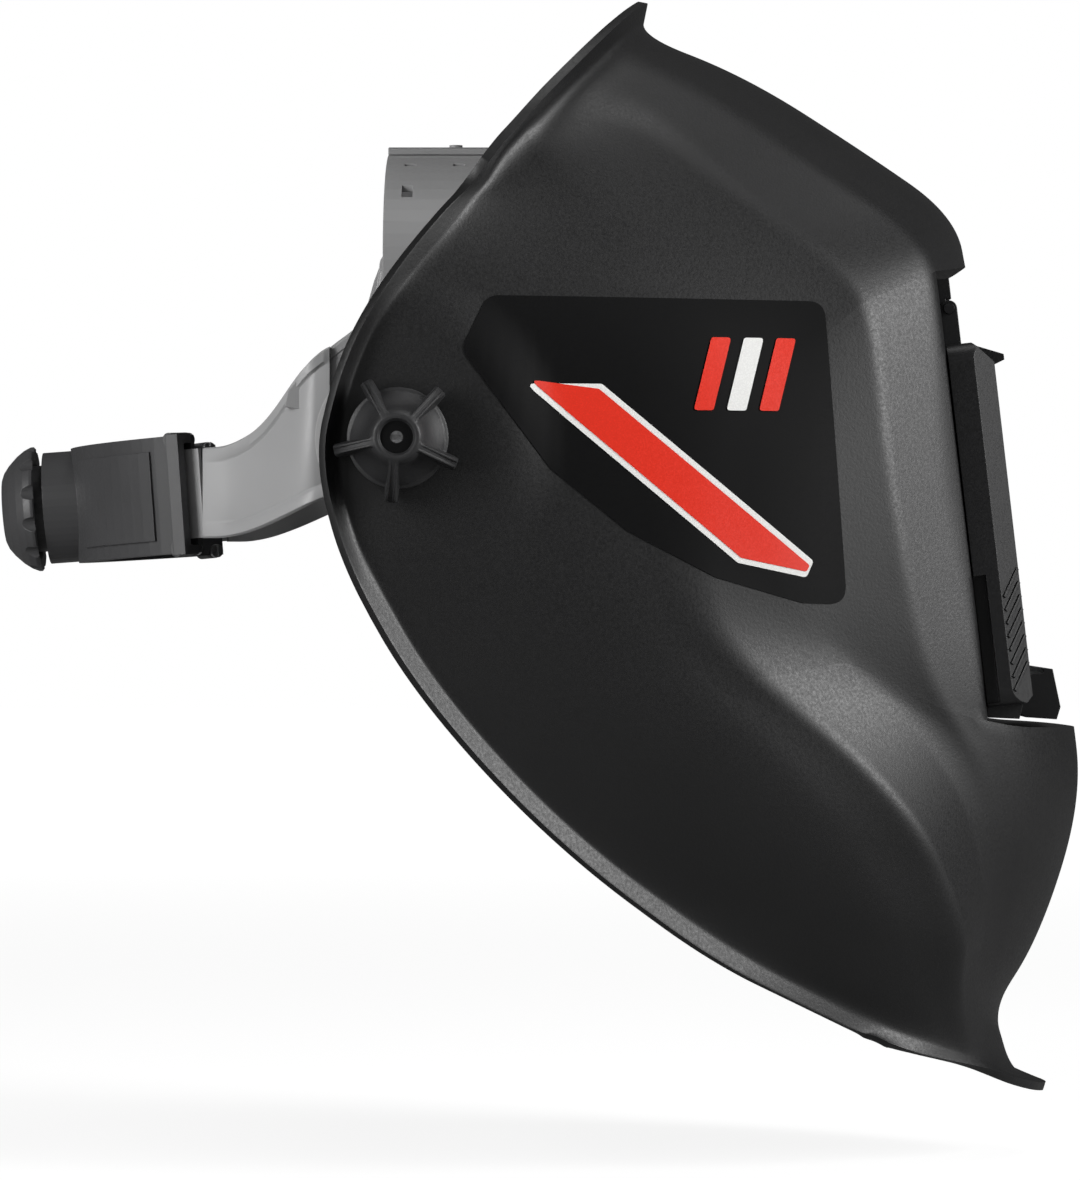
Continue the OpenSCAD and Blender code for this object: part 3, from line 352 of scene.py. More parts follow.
SHELL_BLACK = plastic("shell_black", (0.0082, 0.0082, 0.0085), 0.44, grain=0.8, grain_depth=0.05, edges=0)
FRAME_BLACK = plastic("frame_black", (0.007, 0.007, 0.0075), 0.4, grain=0.6, grain_depth=0.02)
GRIP_BLACK = plastic("grip_black", (0.02, 0.02, 0.021), 0.5, grain=0.5, grain_depth=0.03)
INNER_BLACK = plastic("inner_black", (0.035, 0.035, 0.037), 0.5, grain=0.7, grain_depth=0.01)
KNOB_BLACK = plastic("knob_black", (0.06, 0.06, 0.062), 0.4, grain=0.8, grain_depth=0.006)
HEADGEAR_GREY = plastic("headgear_grey", (0.37, 0.37, 0.373), 0.38, grain=1.2, grain_depth=0.004,
                        patch=0.05)
DISC_GREY = plastic("disc_grey", (0.5, 0.5, 0.5), 0.35, grain=1.2, grain_depth=0.004, patch=0.04)
GASKET = foam("gasket", (0.03, 0.03, 0.031), 0.5, 0.1, sheen=0.1)
PAD_FABRIC = foam("pad", (0.02, 0.02, 0.022), 0.9, 0.25)
STEEL = metal("steel", (0.62, 0.62, 0.63), 0.3)
CLEAR = clear_plastic("clear", (0.93, 0.97, 0.98), 0.02)
DARK_STEEL = metal("dark_steel", (0.05, 0.05, 0.052), 0.45)
DARK_GLASS = dark_glass("dark_glass", (0.004, 0.012, 0.007), (0.006, 0.018, 0.01))
PRINT_BLACK = printed("print_black", (0.002, 0.002, 0.0022), 0.55, specular=0.14)
PRINT_RED = printed("print_red", (0.78, 0.03, 0.012), 0.36)
PRINT_WHITE = printed("print_white", (0.86, 0.86, 0.84), 0.36)
BY_SLOT = {"shell_black": SHELL_BLACK, "frame_black": FRAME_BLACK, "inner_black": INNER_BLACK,
           "headgear_grey": HEADGEAR_GREY, "disc_grey": DISC_GREY, "knob_black": KNOB_BLACK,
           "pad": PAD_FABRIC, "gasket": GASKET, "steel": STEEL, "clear": CLEAR, "dark_glass": DARK_GLASS}
BLACKENED = ("hinge_pin", "bracket_screws")  # steel parts with a dark finish


def dress_nodes():
    """Gives every carried node the material of its slot in the record."""
    for row in frame["record"]["subparts"]:
        node = frame["nodes"][row["node"]]
        node.data.materials.clear()
        finish = DARK_STEEL if row["node"] in BLACKENED else BY_SLOT[row["material_slot"]]
        node.data.materials.append(finish)


def finish_piece(made, body, slot, *nodes):
    """The piece moves with a body and stands for CAD nodes, which are hidden; slot is not used."""
    if nodes:
        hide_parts(*nodes)
    if body:
        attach(made, body)
    return made


# ---------------------------------------------------------------- camera, lights and floor
# in metres and watts
CAMERA_AT, CAMERA_LENS, CAMERA_SENSOR = (0.0383, -1.6, -0.0409), 183.9, 36.0
AMBIENT = 0.06  # light of the world on the object; the camera and glass see it white
# name, place, aim, width and height, power
LAMPS = [
    ("front_softbox", (1.6, -0.62, 0.5), (0.1, -0.05, 0.0), (0.6, 1.0), 28.0),
    ("top_softbox", (0.4, 0.0, 1.4), (0.1, 0, 0), (0.8, 0.7), 4.0),
    ("camera_fill", (-0.7, -1.7, 0.7), (0, 0, 0), (1.2, 1.2), 1.3),
    ("rear_strip", (-1.1, -0.9, 0.25), (-0.08, 0, -0.02), (0.5, 1.2), 17.0),
]
FLOOR_DROP, FLOOR_REACH, FLOOR_GREY = 0.018, 6.0, 0.3
# the camera sees the floor's white rise from the first level to the second between two distances
GLOW_FROM, GLOW_TO = (0.5, 0.83), (2.2, 0.985)


def set_camera(scene):
    """Level camera on the part's right side."""
    camera = bpy.data.cameras.new("camera")
    camera.sensor_fit = "HORIZONTAL"
    camera.sensor_width = CAMERA_SENSOR
    camera.lens = CAMERA_LENS
    seen_from = bpy.data.objects.new("camera", camera)
    seen_from.location = CAMERA_AT
    seen_from.rotation_euler = (math.pi / 2, 0, 0)
    scene.collection.objects.link(seen_from)
    scene.camera = seen_from
    scene.view_settings.view_transform = "Standard"


def set_world(scene):
    """World that looks white and lights the object only a little."""
    world = bpy.data.worlds.new("studio")
    scene.world = world
    world.use_nodes = True
    tree = world.node_tree
    light_path = tree.nodes.new("ShaderNodeLightPath")
    seen = tree.nodes.new("ShaderNodeMath")
    seen.operation = "MAXIMUM"
    tree.links.new(light_path.outputs["Is Camera Ray"], seen.inputs[0])
    tree.links.new(light_path.outputs["Is Transmission Ray"], seen.inputs[1])
    background = tree.nodes["Background"]
    background.inputs["Color"].default_value = (1, 1, 1, 1)
    strength = tree.nodes.new("ShaderNodeMapRange")
    strength.inputs["To Min"].default_value = AMBIENT
    strength.inputs["To Max"].default_value = 1.0
    tree.links.new(seen.outputs[0], strength.inputs["Value"])
    tree.links.new(strength.outputs["Result"], background.inputs["Strength"])


def set_lamps(scene):
    """Rectangular lamps, each turned to its aim."""
    for name, place, aim, size, power in LAMPS:
        light = bpy.data.lights.new(name, "AREA")
        light.shape = "RECTANGLE"
        light.size, light.size_y = size
        light.energy = power
        held = bpy.data.objects.new(name, light)
        held.location = place
        held.rotation_euler = (Vector(aim) - Vector(place)).to_track_quat("-Z", "Y").to_euler()
        scene.collection.objects.link(held)


def set_floor(scene):
    """Plain floor under the part, white to the camera and pale to the light."""
    floor_mesh = bpy.data.meshes.new("floor")
    level = CAD_BOX[0].z - FLOOR_DROP
    corners = [(x * FLOOR_REACH, y * FLOOR_REACH, level) for x, y in ((-1, -1), (1, -1), (1, 1), (-1, 1))]
    floor_mesh.from_pydata(corners, [], [(0, 1, 2, 3)])
    floor = bpy.data.objects.new("floor", floor_mesh)
    scene.collection.objects.link(floor)
    surface = Nodes("floor_white")
    surface.shader.inputs["Base Color"].default_value = (FLOOR_GREY, FLOOR_GREY, FLOOR_GREY, 1)
    surface.shader.inputs["Roughness"].default_value = 0.9
    surface.shader.inputs["Specular IOR Level"].default_value = 0.05
    path = surface.add("ShaderNodeLightPath")
    away = surface.add("ShaderNodeVectorMath", {"Vector": surface.coords.outputs["Object"]},
                       operation="LENGTH")
    glow = surface.add("ShaderNodeMapRange", {"Value": away.outputs["Value"],
                                              "From Min": GLOW_FROM[0], "From Max": GLOW_TO[0],
                                              "To Min": GLOW_FROM[1], "To Max": GLOW_TO[1]},
                       interpolation_type="SMOOTHSTEP")
    seen_glow = surface.add("ShaderNodeMath", {0: glow.outputs["Result"], 1: path.outputs["Is Camera Ray"]},
                            operation="MULTIPLY")
    surface.shader.inputs["Emission Color"].default_value = (1, 1, 1, 1)
    surface.link(seen_glow.outputs[0], "Emission Strength")
    floor_mesh.materials.append(surface.material)


def set_stage():
    """Camera, world, lamps and floor."""
    scene = bpy.context.scene
    set_camera(scene)
    set_world(scene)
    set_lamps(scene)
    set_floor(scene)


# ---------------------------------------------------------------- shell
SHELL_WALL = 2.5
PIVOT_Y = 112.0
# control points of the moulding: rows from the crown to the chin edge, columns from the mid plane to the rim
SHELL_NET = [
    [(70, 0, 129.5), (68, 24, 126.5), (62, 48, 120), (51.5, 73, 107.5), (41.5, 86, 96.5), (37, 91, 91),
     (32.5, 95, 85.5), (28, 99, 80.5), (24.5, 102, 75.5)],
    [(68, 0, 120), (66.5, 24, 117.5), (60.5, 46, 111.5), (47, 69, 98.5), (36, 84, 86), (30.5, 88, 81),
     (25.5, 92, 75.5), (23.5, 96, 71), (20, 101, 69.5)],
    [(99, 0, 108), (96.5, 26, 105), (86, 50, 98.5), (69, 72, 90), (52, 86, 74.5), (41, 92, 65.5),
     (30, 97, 61.5), (16.5, 103, 59), (12, 107, 61.5)],
    [(132.5, 0, 87), (128.5, 30, 83.5), (117.5, 55, 76), (96.5, 77, 66), (76.5, 88, 52.5),
     (54.5, 96, 46.5), (33, 102, 44.5), (3.5, 109, 44), (-0.5, 113, 45.5)],
    [(159.5, 0, 68), (155.5, 33, 65), (143.5, 60, 58.5), (122, 77, 49), (101.5, 87, 33), (76.5, 97, 27),
     (43.5, 104, 27), (-5.5, 112, 29), (-10, 117, 30)],
    [(163, 0, 47.5), (159.5, 34, 45.5), (150.5, 62, 44.5), (130, 79, 35), (107, 89, 15), (79, 99, 11),
     (43.5, 106, 10.5), (-11.5, 113, 14.5), (-16, 118, 15)],
    [(178, 0, -16), (172, 36, -17), (157, 63, -16), (135.5, 81, -16), (106.5, 93, -16.5),
     (76.5, 102, -16.5), (43.5, 108, -14), (-15.5, 113, -6.5), (-21, 118, -6)],
    [(194, 0, -72), (186, 34, -71.5), (169, 57, -71.5), (145.5, 74, -66), (109.5, 92, -48.5),
     (81.5, 104, -52.5), (49, 109, -49), (-8, 112, -33.5), (-13, 117, -35)],
    [(197, 0, -102), (190.5, 24, -101), (179.5, 44, -99.5), (167, 56, -97), (153.5, 68, -89.5),
     (137, 88, -95.5), (92.5, 103, -87), (11, 106, -67.5), (6, 111, -69)],
    [(184.5, 0, -141), (180, 18, -139.5), (173, 34, -136), (167.5, 44, -132.5), (164.5, 51, -128),
     (157, 66, -134), (117.5, 90, -120.5), (48.5, 94, -108), (43.5, 98, -110.5)],
    [(170, 0, -162.5), (168.5, 14, -161.5), (166, 27, -159.5), (163.5, 36, -157), (161, 44, -152.5),
     (155.5, 56, -151.5), (132, 70, -146.5), (92, 80, -139.5), (86.5, 84, -143)],
    [(175.5, 0, -180.5), (173, 14, -179), (169.5, 25, -177), (166, 33, -174.5), (162.5, 39, -172.5),
     (157.5, 45, -170), (148, 53, -166), (132.5, 60, -161.5), (126.5, 63, -164)],
    [(186, 0, -183.5), (181.5, 14, -182.5), (174.5, 26, -180), (168.5, 34, -177.5), (162.5, 41, -175.5),
     (155, 48, -173.5), (147, 54, -171.5), (137.5, 60, -168), (132, 63, -165.5)],
]
NET_ROWS = len(SHELL_NET) - 1
NET_COLS = len(SHELL_NET[0]) - 1
BROW_U, LEDGE_U = 4.72, 7.29  # rows where the window recess starts and ends
BROW_STEP, LEDGE_STEP = 0.12, 0.085  # how much further the inside goes there, in rows
FLAT_R, FLAT_BLEND = 24.0, 22.0  # flat spot round the pivot and its soft edge
LIP_COLS = 0.7  # width of the rim's lip, which stays curved
EDGE_BLEND = 1.6  # how softly the window recess meets the sides
FULL_NET = np.array([[(x, -y, z) for x, y, z in reversed(row[1:])] + row for row in SHELL_NET], float)


def spline_weights(count, places, bends=None):
    """Weights of count control points for a quadratic spline at each place.

    bends holds for each control point how widely the line bends round it, from 0.5 (soft) down."""
    made = np.zeros((len(places), count))
    last = count - 1
    for row, t in enumerate(places):
        i = min(max(math.floor(t + 0.5), 0), last)
        wide = 0.5 if bends is None else bends[i]
        d = t - i
        after = (d + wide) ** 2 / (4 * wide) if abs(d) < wide else max(d, 0.0)
        before = after - d
        made[row, i] += 1 - after - before
        if i == 0:
            made[row, 0] += 2 * before
            made[row, 1] -= before
        else:
            made[row, i - 1] += before
        if i == last:
            made[row, last] += 2 * after
            made[row, last - 1] -= after
        else:
            made[row, i + 1] += after
    return made


# how widely the moulding bends round each column of the net, row by row from the crown to the chin
COLUMN_BENDS = {
    2: [0.5, 0.3, 0.16, 0.12, 0.1, 0.2, 0.35, 0.35, 0.4, 0.45, 0.5, 0.5, 0.5],
    3: [0.5, 0.5, 0.24, 0.13, 0.1, 0.08, 0.07, 0.1, 0.2, 0.3, 0.4, 0.5, 0.5],
    4: [0.5, 0.5, 0.5, 0.5, 0.45, 0.4, 0.35, 0.14, 0.1, 0.12, 0.2, 0.4, 0.5],
    5: [0.5, 0.5, 0.5, 0.5, 0.5, 0.45, 0.35, 0.16, 0.12, 0.14, 0.2, 0.4, 0.5],
    7: [0.5, 0.3, 0.2, 0.2, 0.2, 0.2, 0.2, 0.2, 0.2, 0.2, 0.25, 0.3, 0.4],
}
CORNER_FROM, CORNER_TRIM = 11.0, 0.6  # first row of the rounded corner and how much it takes off
ROW_BENDS = [0.5, 0.4, 0.5, 0.5, 0.5, 0.4, 0.5, 0.4, 0.5, 0.5, 0.35, 0.4, 0.4]


def skin(us, vs):
    """Grid of points of the moulded surface."""
    rows = spline_weights(NET_ROWS + 1, us, ROW_BENDS)
    lines = np.einsum("ai,ijk->ajk", rows, FULL_NET)
    made = np.zeros((len(us), len(vs), 3))
    for a, u in enumerate(us):
        # the corner between the lip and the chin edge is rounded off
        trim = CORNER_TRIM * min(max((u - CORNER_FROM) / (NET_ROWS - CORNER_FROM), 0.0), 1.0) ** 2
        places = [NET_COLS + math.copysign(abs(v) - max(abs(v) - NET_COLS + 1, 0.0) * trim, v) for v in vs]
        bends = [0.5] * (2 * NET_COLS + 1)
        for column, wide in COLUMN_BENDS.items():
            here = float(np.interp(u, range(NET_ROWS + 1), wide))
            bends[NET_COLS + column] = bends[NET_COLS - column] = here
        made[a] = spline_weights(2 * NET_COLS + 1, places, bends) @ lines[a]
    return made


def skin_normals(us, vs):
    """Outward unit normals on the same grid."""
    h, margin = 0.05, 0.4
    us = [min(max(u, margin), NET_ROWS - margin) for u in us]
    vs = [min(max(v, margin - NET_COLS), NET_COLS - margin) for v in vs]
    du = skin([u + h for u in us], vs) - skin([u - h for u in us], vs)
    dv = skin(us, [v + h for v in vs]) - skin(us, [v - h for v in vs])
    normals = np.cross(du, dv)
    return normals / np.linalg.norm(normals, axis=2, keepdims=True)


def softest(a, b, width):
    """Smaller of two values, with the corner between them rounded."""
    h = np.clip(0.5 + (b - a) / (2 * width), 0, 1)
    return b + (a - b) * h - width * h * (1 - h)


def shell_grid(us, vs, cut, depth):
    """Shell surface at a depth under its outside; cut tells for each row if the recess cuts it."""
    points = skin(us, vs) - depth * skin_normals(us, vs)
    outside = skin(us, vs)
    reach = np.hypot(outside[..., 0], outside[..., 2])
    lip = np.clip((NET_COLS - np.abs(np.array(vs))) / LIP_COLS, 0, 1)[None, :]
    flat = np.clip((FLAT_R + FLAT_BLEND - reach) / FLAT_BLEND, 0, 1)
    flat = flat * flat * (3 - 2 * flat) * lip
    side = np.sign(np.array(vs))[None, :]
    points[..., 1] = (1 - flat) * points[..., 1] + flat * side * (PIVOT_Y - depth)
    slope = math.tan(WINDOW_LEAN)
    plane = WINDOW_AT.x - (points[..., 2] - WINDOW_AT.z) * slope - depth / math.cos(WINDOW_LEAN)
    recessed = softest(points[..., 0], plane, EDGE_BLEND)
    is_cut = np.array(cut, bool)[:, None]
    points[..., 0] = np.where(is_cut, recessed, points[..., 0])
    return points


ROW_STEP = 0.0625
BROW_NEXT, LEDGE_NEXT = 4.8125, 7.4375  # first full rows after the brow and the ledge
CREASES = (2, 3, 4, 5)
BY_CREASE = (0, 0.03, 0.06, 0.1, 0.14, 0.19, 0.25, 0.32, 0.4)
BY_LIP = (6.74, 6.81, 6.87, 6.92, 6.96, 7.0, 7.04, 7.08, 7.13, 7.19, 7.26, 7.34, 7.42, 7.5, 7.6, 7.7, 7.8,
          7.9, 8.0)
WINDOW_HALF_W, WINDOW_HALF_H, CUT_DEEP = 50, 40, 15
BORE_R, BORE_REACH = 6.5, 10


def shell_rows():
    """Rows of the shell's mesh: place outside, place inside, and if the window recess cuts it."""
    rows = [(u, u, False) for u in np.arange(0, BROW_U - 0.05, ROW_STEP)]
    rows += [(BROW_U, BROW_U - BROW_STEP, False), (BROW_U, BROW_U - BROW_STEP, True)]
    rows += [(u, u, True) for u in np.arange(BROW_NEXT, LEDGE_U - 0.05, ROW_STEP)]
    rows += [(LEDGE_U, LEDGE_U + LEDGE_STEP, True), (LEDGE_U, LEDGE_U + LEDGE_STEP, False)]
    rows += [(u, u, False) for u in np.arange(LEDGE_NEXT, NET_ROWS + 0.01, ROW_STEP)]
    return rows


def shell_columns():
    """Columns of the shell's mesh, closer together along the creases and the lip."""
    half = [k / 12 for k in range(1, 20)]
    for column in CREASES:
        half += [column + sign * d for d in BY_CREASE for sign in (-1, 1)] + [column + 0.5]
    half += [5.58 + k / 12 for k in range(0, 14)]
    half += BY_LIP
    half = sorted(set(round(v, 4) for v in half))
    return [-v for v in reversed(half)] + [0.0] + half


def build_shell():
    """Moulding with its wall, window opening and pivot bores."""
    rows, cols = shell_rows(), shell_columns()
    cut = [row[2] for row in rows]
    outer = shell_grid([row[0] for row in rows], cols, cut, 0.0)
    inner = shell_grid([row[1] for row in rows], cols, cut, SHELL_WALL)
    nr, nc = len(rows), len(cols)
    base = nr * nc
    points = np.concatenate([outer.reshape(-1, 3), inner.reshape(-1, 3)])

    def at(r, c):
        return r * nc + c

    faces = []
    for r in range(nr - 1):
        for c in range(nc - 1):
            quad = (at(r, c), at(r, c + 1), at(r + 1, c + 1), at(r + 1, c))
            faces.append(quad)
            faces.append(tuple(base + i for i in reversed(quad)))
    rim = [at(0, c) for c in range(nc)] + [at(r, nc - 1) for r in range(1, nr)]
    rim += [at(nr - 1, c) for c in range(nc - 2, -1, -1)] + [at(r, 0) for r in range(nr - 2, 0, -1)]
    for k, here in enumerate(rim):
        there = rim[(k + 1) % len(rim)]
        faces.append((there, here, base + here, base + there))
    shell = make_object("shell_moulding", points.tolist(), faces, SHELL_BLACK)
    bevel(shell, 0.9, 3, 50)

    def cutter(name, shape, place):
        local_points, local_faces = shape
        return make_object(name, placed(local_points, place), local_faces, SHELL_BLACK)

    opening = (WINDOW_HALF_W, WINDOW_HALF_H, CUT_DEEP)
    window = cutter("window_cut", box_points([-half for half in opening], opening), WINDOW)
    bore = loft(lathe([(BORE_R, PIVOT_Y - BORE_REACH), (BORE_R, PIVOT_Y + BORE_REACH)], 48))
    cut_away(shell, [window] + [cutter("bore", bore, pivot_place(side)) for side in (-1, 1)])
    soften(shell)
    return finish_piece(shell, None, "shell_black", "shell")


def surface_tree(made):
    """Tree for finding the surface of a piece."""
    return bvhtree.BVHTree.FromObject(made, bpy.context.evaluated_depsgraph_get())


# ---------------------------------------------------------------- side labels
def rounded_outline(corners, radius, steps=8):
    """Closed outline with round corners from a list of corner points."""
    outline = []
    count = len(corners)
    for i, corner in enumerate(corners):
        here = Vector(corner)
        before = (Vector(corners[i - 1]) - here).normalized()
        after = (Vector(corners[(i + 1) % count]) - here).normalized()
        turn = before.angle(after)
        back = min(radius / math.tan(turn / 2), (Vector(corners[i - 1]) - here).length / 2,
                   (Vector(corners[(i + 1) % count]) - here).length / 2)
        start, end = here + before * back, here + after * back
        for k in range(steps + 1):
            t = k / steps
            outline.append((1 - t) ** 2 * start + 2 * t * (1 - t) * here + t * t * end)
    return outline


PRINT_T = 0.1
FAR_OUT = 200  # beyond the shell's side


def on_shell(name, outline, side, lift, material, tree, spacing=1.3):
    """Thin printed piece with an outline in (x, z), laid on the side of the shell."""
    dense = []
    for i, here in enumerate(outline):
        there = outline[(i + 1) % len(outline)]
        cuts = max(1, int((there - here).length / spacing))
        dense += [here.lerp(there, k / cuts) for k in range(cuts)]
    low = Vector((min(p.x for p in dense), min(p.y for p in dense)))
    high = Vector((max(p.x for p in dense), max(p.y for p in dense)))
    inside = []
    steps_x = int((high.x - low.x) / spacing) + 1
    steps_y = int((high.y - low.y) / spacing) + 1
    rim = np.array([(p.x, p.y) for p in dense])
    for i in range(steps_x):
        for j in range(steps_y):
            at = Vector((low.x + (i + 0.5) * spacing, low.y + (j + 0.5) * spacing))
            if np.hypot(rim[:, 0] - at.x, rim[:, 1] - at.y).min() > 0.6 * spacing:
                inside.append(at)
    border = [(k, (k + 1) % len(dense)) for k in range(len(dense))]
    flat, _, faces, *_ = geometry.delaunay_2d_cdt(dense + inside, border, [], 1, 1e-4)
    bottom, top = [], []
    for p in flat:
        start = Vector((p.x, side * FAR_OUT, p.y)) * MM
        hit, normal, _, _ = tree.ray_cast(start, Vector((0, -side, 0)))
        if normal.y * side < 0:
            normal = -normal
        bottom.append(hit / MM + normal * lift)
        top.append(hit / MM + normal * (lift + PRINT_T))
    count = len(flat)
    solid = [tuple(f) for f in faces] + [tuple(count + i for i in reversed(f)) for f in faces]
    used = dict.fromkeys((here, face[(k + 1) % len(face)])
                         for face in faces for k, here in enumerate(face))
    for here, there in used:
        if (there, here) not in used:
            solid.append((there, here, count + here, count + there))
    return make_object(name, bottom + top, solid, material, 50)


# corners in (x, z)
PANEL = [(24, 39), (116.5, 38.5), (122.5, -45), (110, -44.5), (86, -37.5), (62, -25), (41, -8), (17, 24)]
BAND = [(34, 15), (55, 15), (113, -33), (111, -37.5), (92, -33.5)]
BAND_EDGE = 1.6  # width of the band's white edge
BAR_X, BAR_Z, BAR_W, BAR_H, BAR_LEAN, BAR_PITCH = 80, 8, 5.4, 20, 5, 9
PANEL_LIFT, EDGE_LIFT, PRINT_LIFT = 0.14, 0.3, 0.46  # above the shell, each layer on the one before


def inset_outline(outline, distance):
    """Outline moved inwards by a distance."""
    made = []
    count = len(outline)
    area = sum(outline[i - 1].x * outline[i].y - outline[i].x * outline[i - 1].y for i in range(count))
    turn = 1 if area > 0 else -1
    for i in range(count):
        along = (outline[(i + 1) % count] - outline[i - 1]).normalized()
        made.append(outline[i] + Vector((-along.y, along.x)) * distance * turn)
    return made


def slanted_bar(x, z, width, height, lean):
    """Corners of a bar leaning forwards."""
    return [Vector((x, z)), Vector((x + width, z)), Vector((x + width + lean, z + height)),
            Vector((x + lean, z + height))]


def build_labels(tree):
    """Plain panel on each side with a slanted red band, its white edge, and three bars."""
    for side in (-1, 1):
        hand = "right" if side < 0 else "left"
        panel = on_shell(f"side_panel_{hand}", rounded_outline(PANEL, 5), side, PANEL_LIFT, PRINT_BLACK, tree)
        band = [Vector(corner) for corner in BAND]
        parts = [("band_edge", rounded_outline(band, 1.2, 3), PRINT_WHITE, EDGE_LIFT),
                 ("band", rounded_outline(inset_outline(band, BAND_EDGE), 0.8, 3), PRINT_RED, PRINT_LIFT)]
        for k, material in enumerate((PRINT_RED, PRINT_WHITE, PRINT_RED)):
            bar = slanted_bar(BAR_X + BAR_PITCH * k, BAR_Z, BAR_W, BAR_H, BAR_LEAN)
            parts.append((f"bar_{k}", rounded_outline(bar, 0.8, 3), material, PRINT_LIFT))
        for label, outline, material, lift in parts:
            piece = on_shell(f"print_{label}_{hand}", outline, side, lift, material, tree)
            finish_piece(piece, "shell", "shell_black")
        finish_piece(panel, "shell", "shell_black")


# ---------------------------------------------------------------- star knobs
KNOB_IN, KNOB_OUT, KNOB_BASE_R = 113.8, 127.8, 13.7
KNOB_BORE_R, KNOB_ARMS = 3.55, 5
KNOB_TURN = math.radians(24.4)
# height above the base, radius of the body, depth of the pockets, reach of the arms, half their width
KNOB_LEVELS = [(1.0, 13.2, 0.0, 16.6, 1.9), (1.8, 13.2, 0.0, 17.4, 1.9), (3.0, 12.6, 0.5, 17.5, 1.7),
               (4.4, 11.9, 1.2, 17.3, 1.5), (6.0, 11.0, 1.7, 16.6, 1.35), (7.6, 10.1, 1.7, 15.4, 1.25),
               (9.2, 9.2, 1.3, 13.4, 1.2), (10.6, 8.4, 0.8, 11.4, 1.2), (11.8, 7.7, 0.3, 9.4, 1.2),
               (12.6, 7.2, 0.1, 7.8, 1.3), (13.2, 6.7, 0.0, 6.9, 1.4)]


def star_radius(angle, body, pocket, reach, half_width):
    """Radius of a five-armed star: narrow arms on a round body with pockets between them."""
    share = KNOB_ARMS * angle / (2 * math.pi)
    away = abs(share - round(share)) * 2  # 0 on an arm, 1 midway between two
    turn = away * math.pi / KNOB_ARMS
    arm = min(reach, half_width / max(math.sin(turn), 1e-3)) if turn < 1.2 else 0
    arm = min(arm, reach * (1 - 0.012 * (turn * reach / max(half_width, 0.1)) ** 4))
    hollow = body - pocket * math.sin(math.pi * min(max((away - 0.12) / 0.88, 0), 1) / 2) ** 0.8
    # round join between arm and body
    h = min(max(0.5 + (arm - hollow) / 3.0, 0), 1)
    return hollow * (1 - h) + arm * h + 1.5 * h * (1 - h) * 0.5


# radius and height above the base along the top of an arm's two ribs
RIB_LINE = ((6.4, 13.1), (8.2, 12.3), (10.4, 11.2), (12.8, 9.8), (15.0, 8.4), (16.6, 6.6), (17.3, 4.6))
RIB_APART, RIB_W, RIB_DEEP = 0.8, 0.25, 0.7


def arm_ribs():
    """Two fine ribs along the top of each arm."""
    ribs = []
    for k in range(KNOB_ARMS):
        a = 2 * math.pi * k / KNOB_ARMS + KNOB_TURN
        along, across = Vector((math.cos(a), math.sin(a), 0)), Vector((-math.sin(a), math.cos(a), 0))
        back = along * -RIB_DEEP + Vector((0, 0, -RIB_DEEP))
        for edge in (-RIB_APART, RIB_APART):
            rings = []
            for r, z in RIB_LINE:
                top = along * (r + 0.15) + across * edge + Vector((0, 0, KNOB_IN + z + 0.25))
                left, right = top - across * RIB_W, top + across * RIB_W
                rings.append([left, right, right + back, left + back])
            ribs.append(loft(rings))
    return ribs


def build_star_knob(side):
    """Five-armed knob with its base flange, and a near-black ring of painted shade on the floor of the sunk centre
    round its screw.
    """
    hand = "right" if side < 0 else "left"
    steps = 300
    low, high = KNOB_IN, KNOB_OUT
    star = []
    for height, body, pocket, reach, half in KNOB_LEVELS:
        radii = [(star_radius(a, body, pocket, reach, half), a + KNOB_TURN) for a in ring_angles(steps)]
        star.append([(r * math.cos(a), r * math.sin(a), low + height) for r, a in radii])
    hub = lathe([(6.5, high - 0.5), (6.1, high - 0.1), (5.6, high), (5.0, high - 0.15), (4.7, high - 0.8),
                 (4.4, high - 1.15), (1.7, high - 1.2), (1.6, high - 1.42), (KNOB_BORE_R, high - 1.44),
                 (KNOB_BORE_R, low)], steps, KNOB_TURN)
    flange = lathe([(KNOB_BORE_R, low), (KNOB_BASE_R - 0.5, low), (KNOB_BASE_R, low + 0.5),
                    (KNOB_BASE_R, low + 1.8), (KNOB_BASE_R - 0.7, low + 2.3), (11, low + 2.5),
                    (5, low + 2.6)], 120)
    points, faces = joined([loft(star + hub), loft(flange)] + arm_ribs())
    knob = make_object(f"star_knob_{hand}", placed(points, pivot_place(side)), faces, GRIP_BLACK, 40)
    # painted shade: a near-black printed ring laid just over the floor of the hub's sunk centre darkens it where
    # shade falls round the screw
    sunk = [(1.75, high - 1.19), (1.75, high - 1.12), (4.4, high - 1.1), (4.4, high - 1.14)]
    points, faces = loft(lathe(sunk, steps), closed_ends=False)
    recess_shade = make_object(f"knob_recess_painted_shade_{hand}", placed(points, pivot_place(side)), faces, PRINT_BLACK, 40)
    finish_piece(recess_shade, f"knob_{hand}", "knob_black")
    return finish_piece(knob, f"knob_{hand}", "knob_black", f"tension_knob_{hand}")


# ---------------------------------------------------------------- rear straps
BAND_OUT = 80.0
STRAP_T = 1.6
STRAP_STEPS = 60
# path seen from above: x, and y beyond the headband's side
STRAP_PATH = [(-19.5, 1.4), (-27, 1), (-43, -15.2), (-55.6, -22.8)]
# x, lower edge and upper edge
STRAP_EDGES = [(-19.5, -15, 26.6), (-22, -16, 24.9), (-25, -17.4, 22.2), (-28, -19, 18.6),
               (-31, -20.3, 14.2), (-34, -21.8, 9.9), (-37, -23, 6.4), (-40, -24.2, 3.8), (-43, -25.2, 1.8),
               (-49, -26.4, -0.8), (-56, -26.4, -1.2)]
STRAP_EASE = (-2.5, -1, 0, 1, 2.5)  # places over which a height is averaged


def strap_height(x, column):
    """Height of an edge of the strap: column 1 is the lower one, 2 the upper one."""
    table = np.array(STRAP_EDGES)[::-1]
    near = [np.interp(x + d, table[:, 0], table[:, column]) for d in STRAP_EASE]
    return sum(near) / len(near)


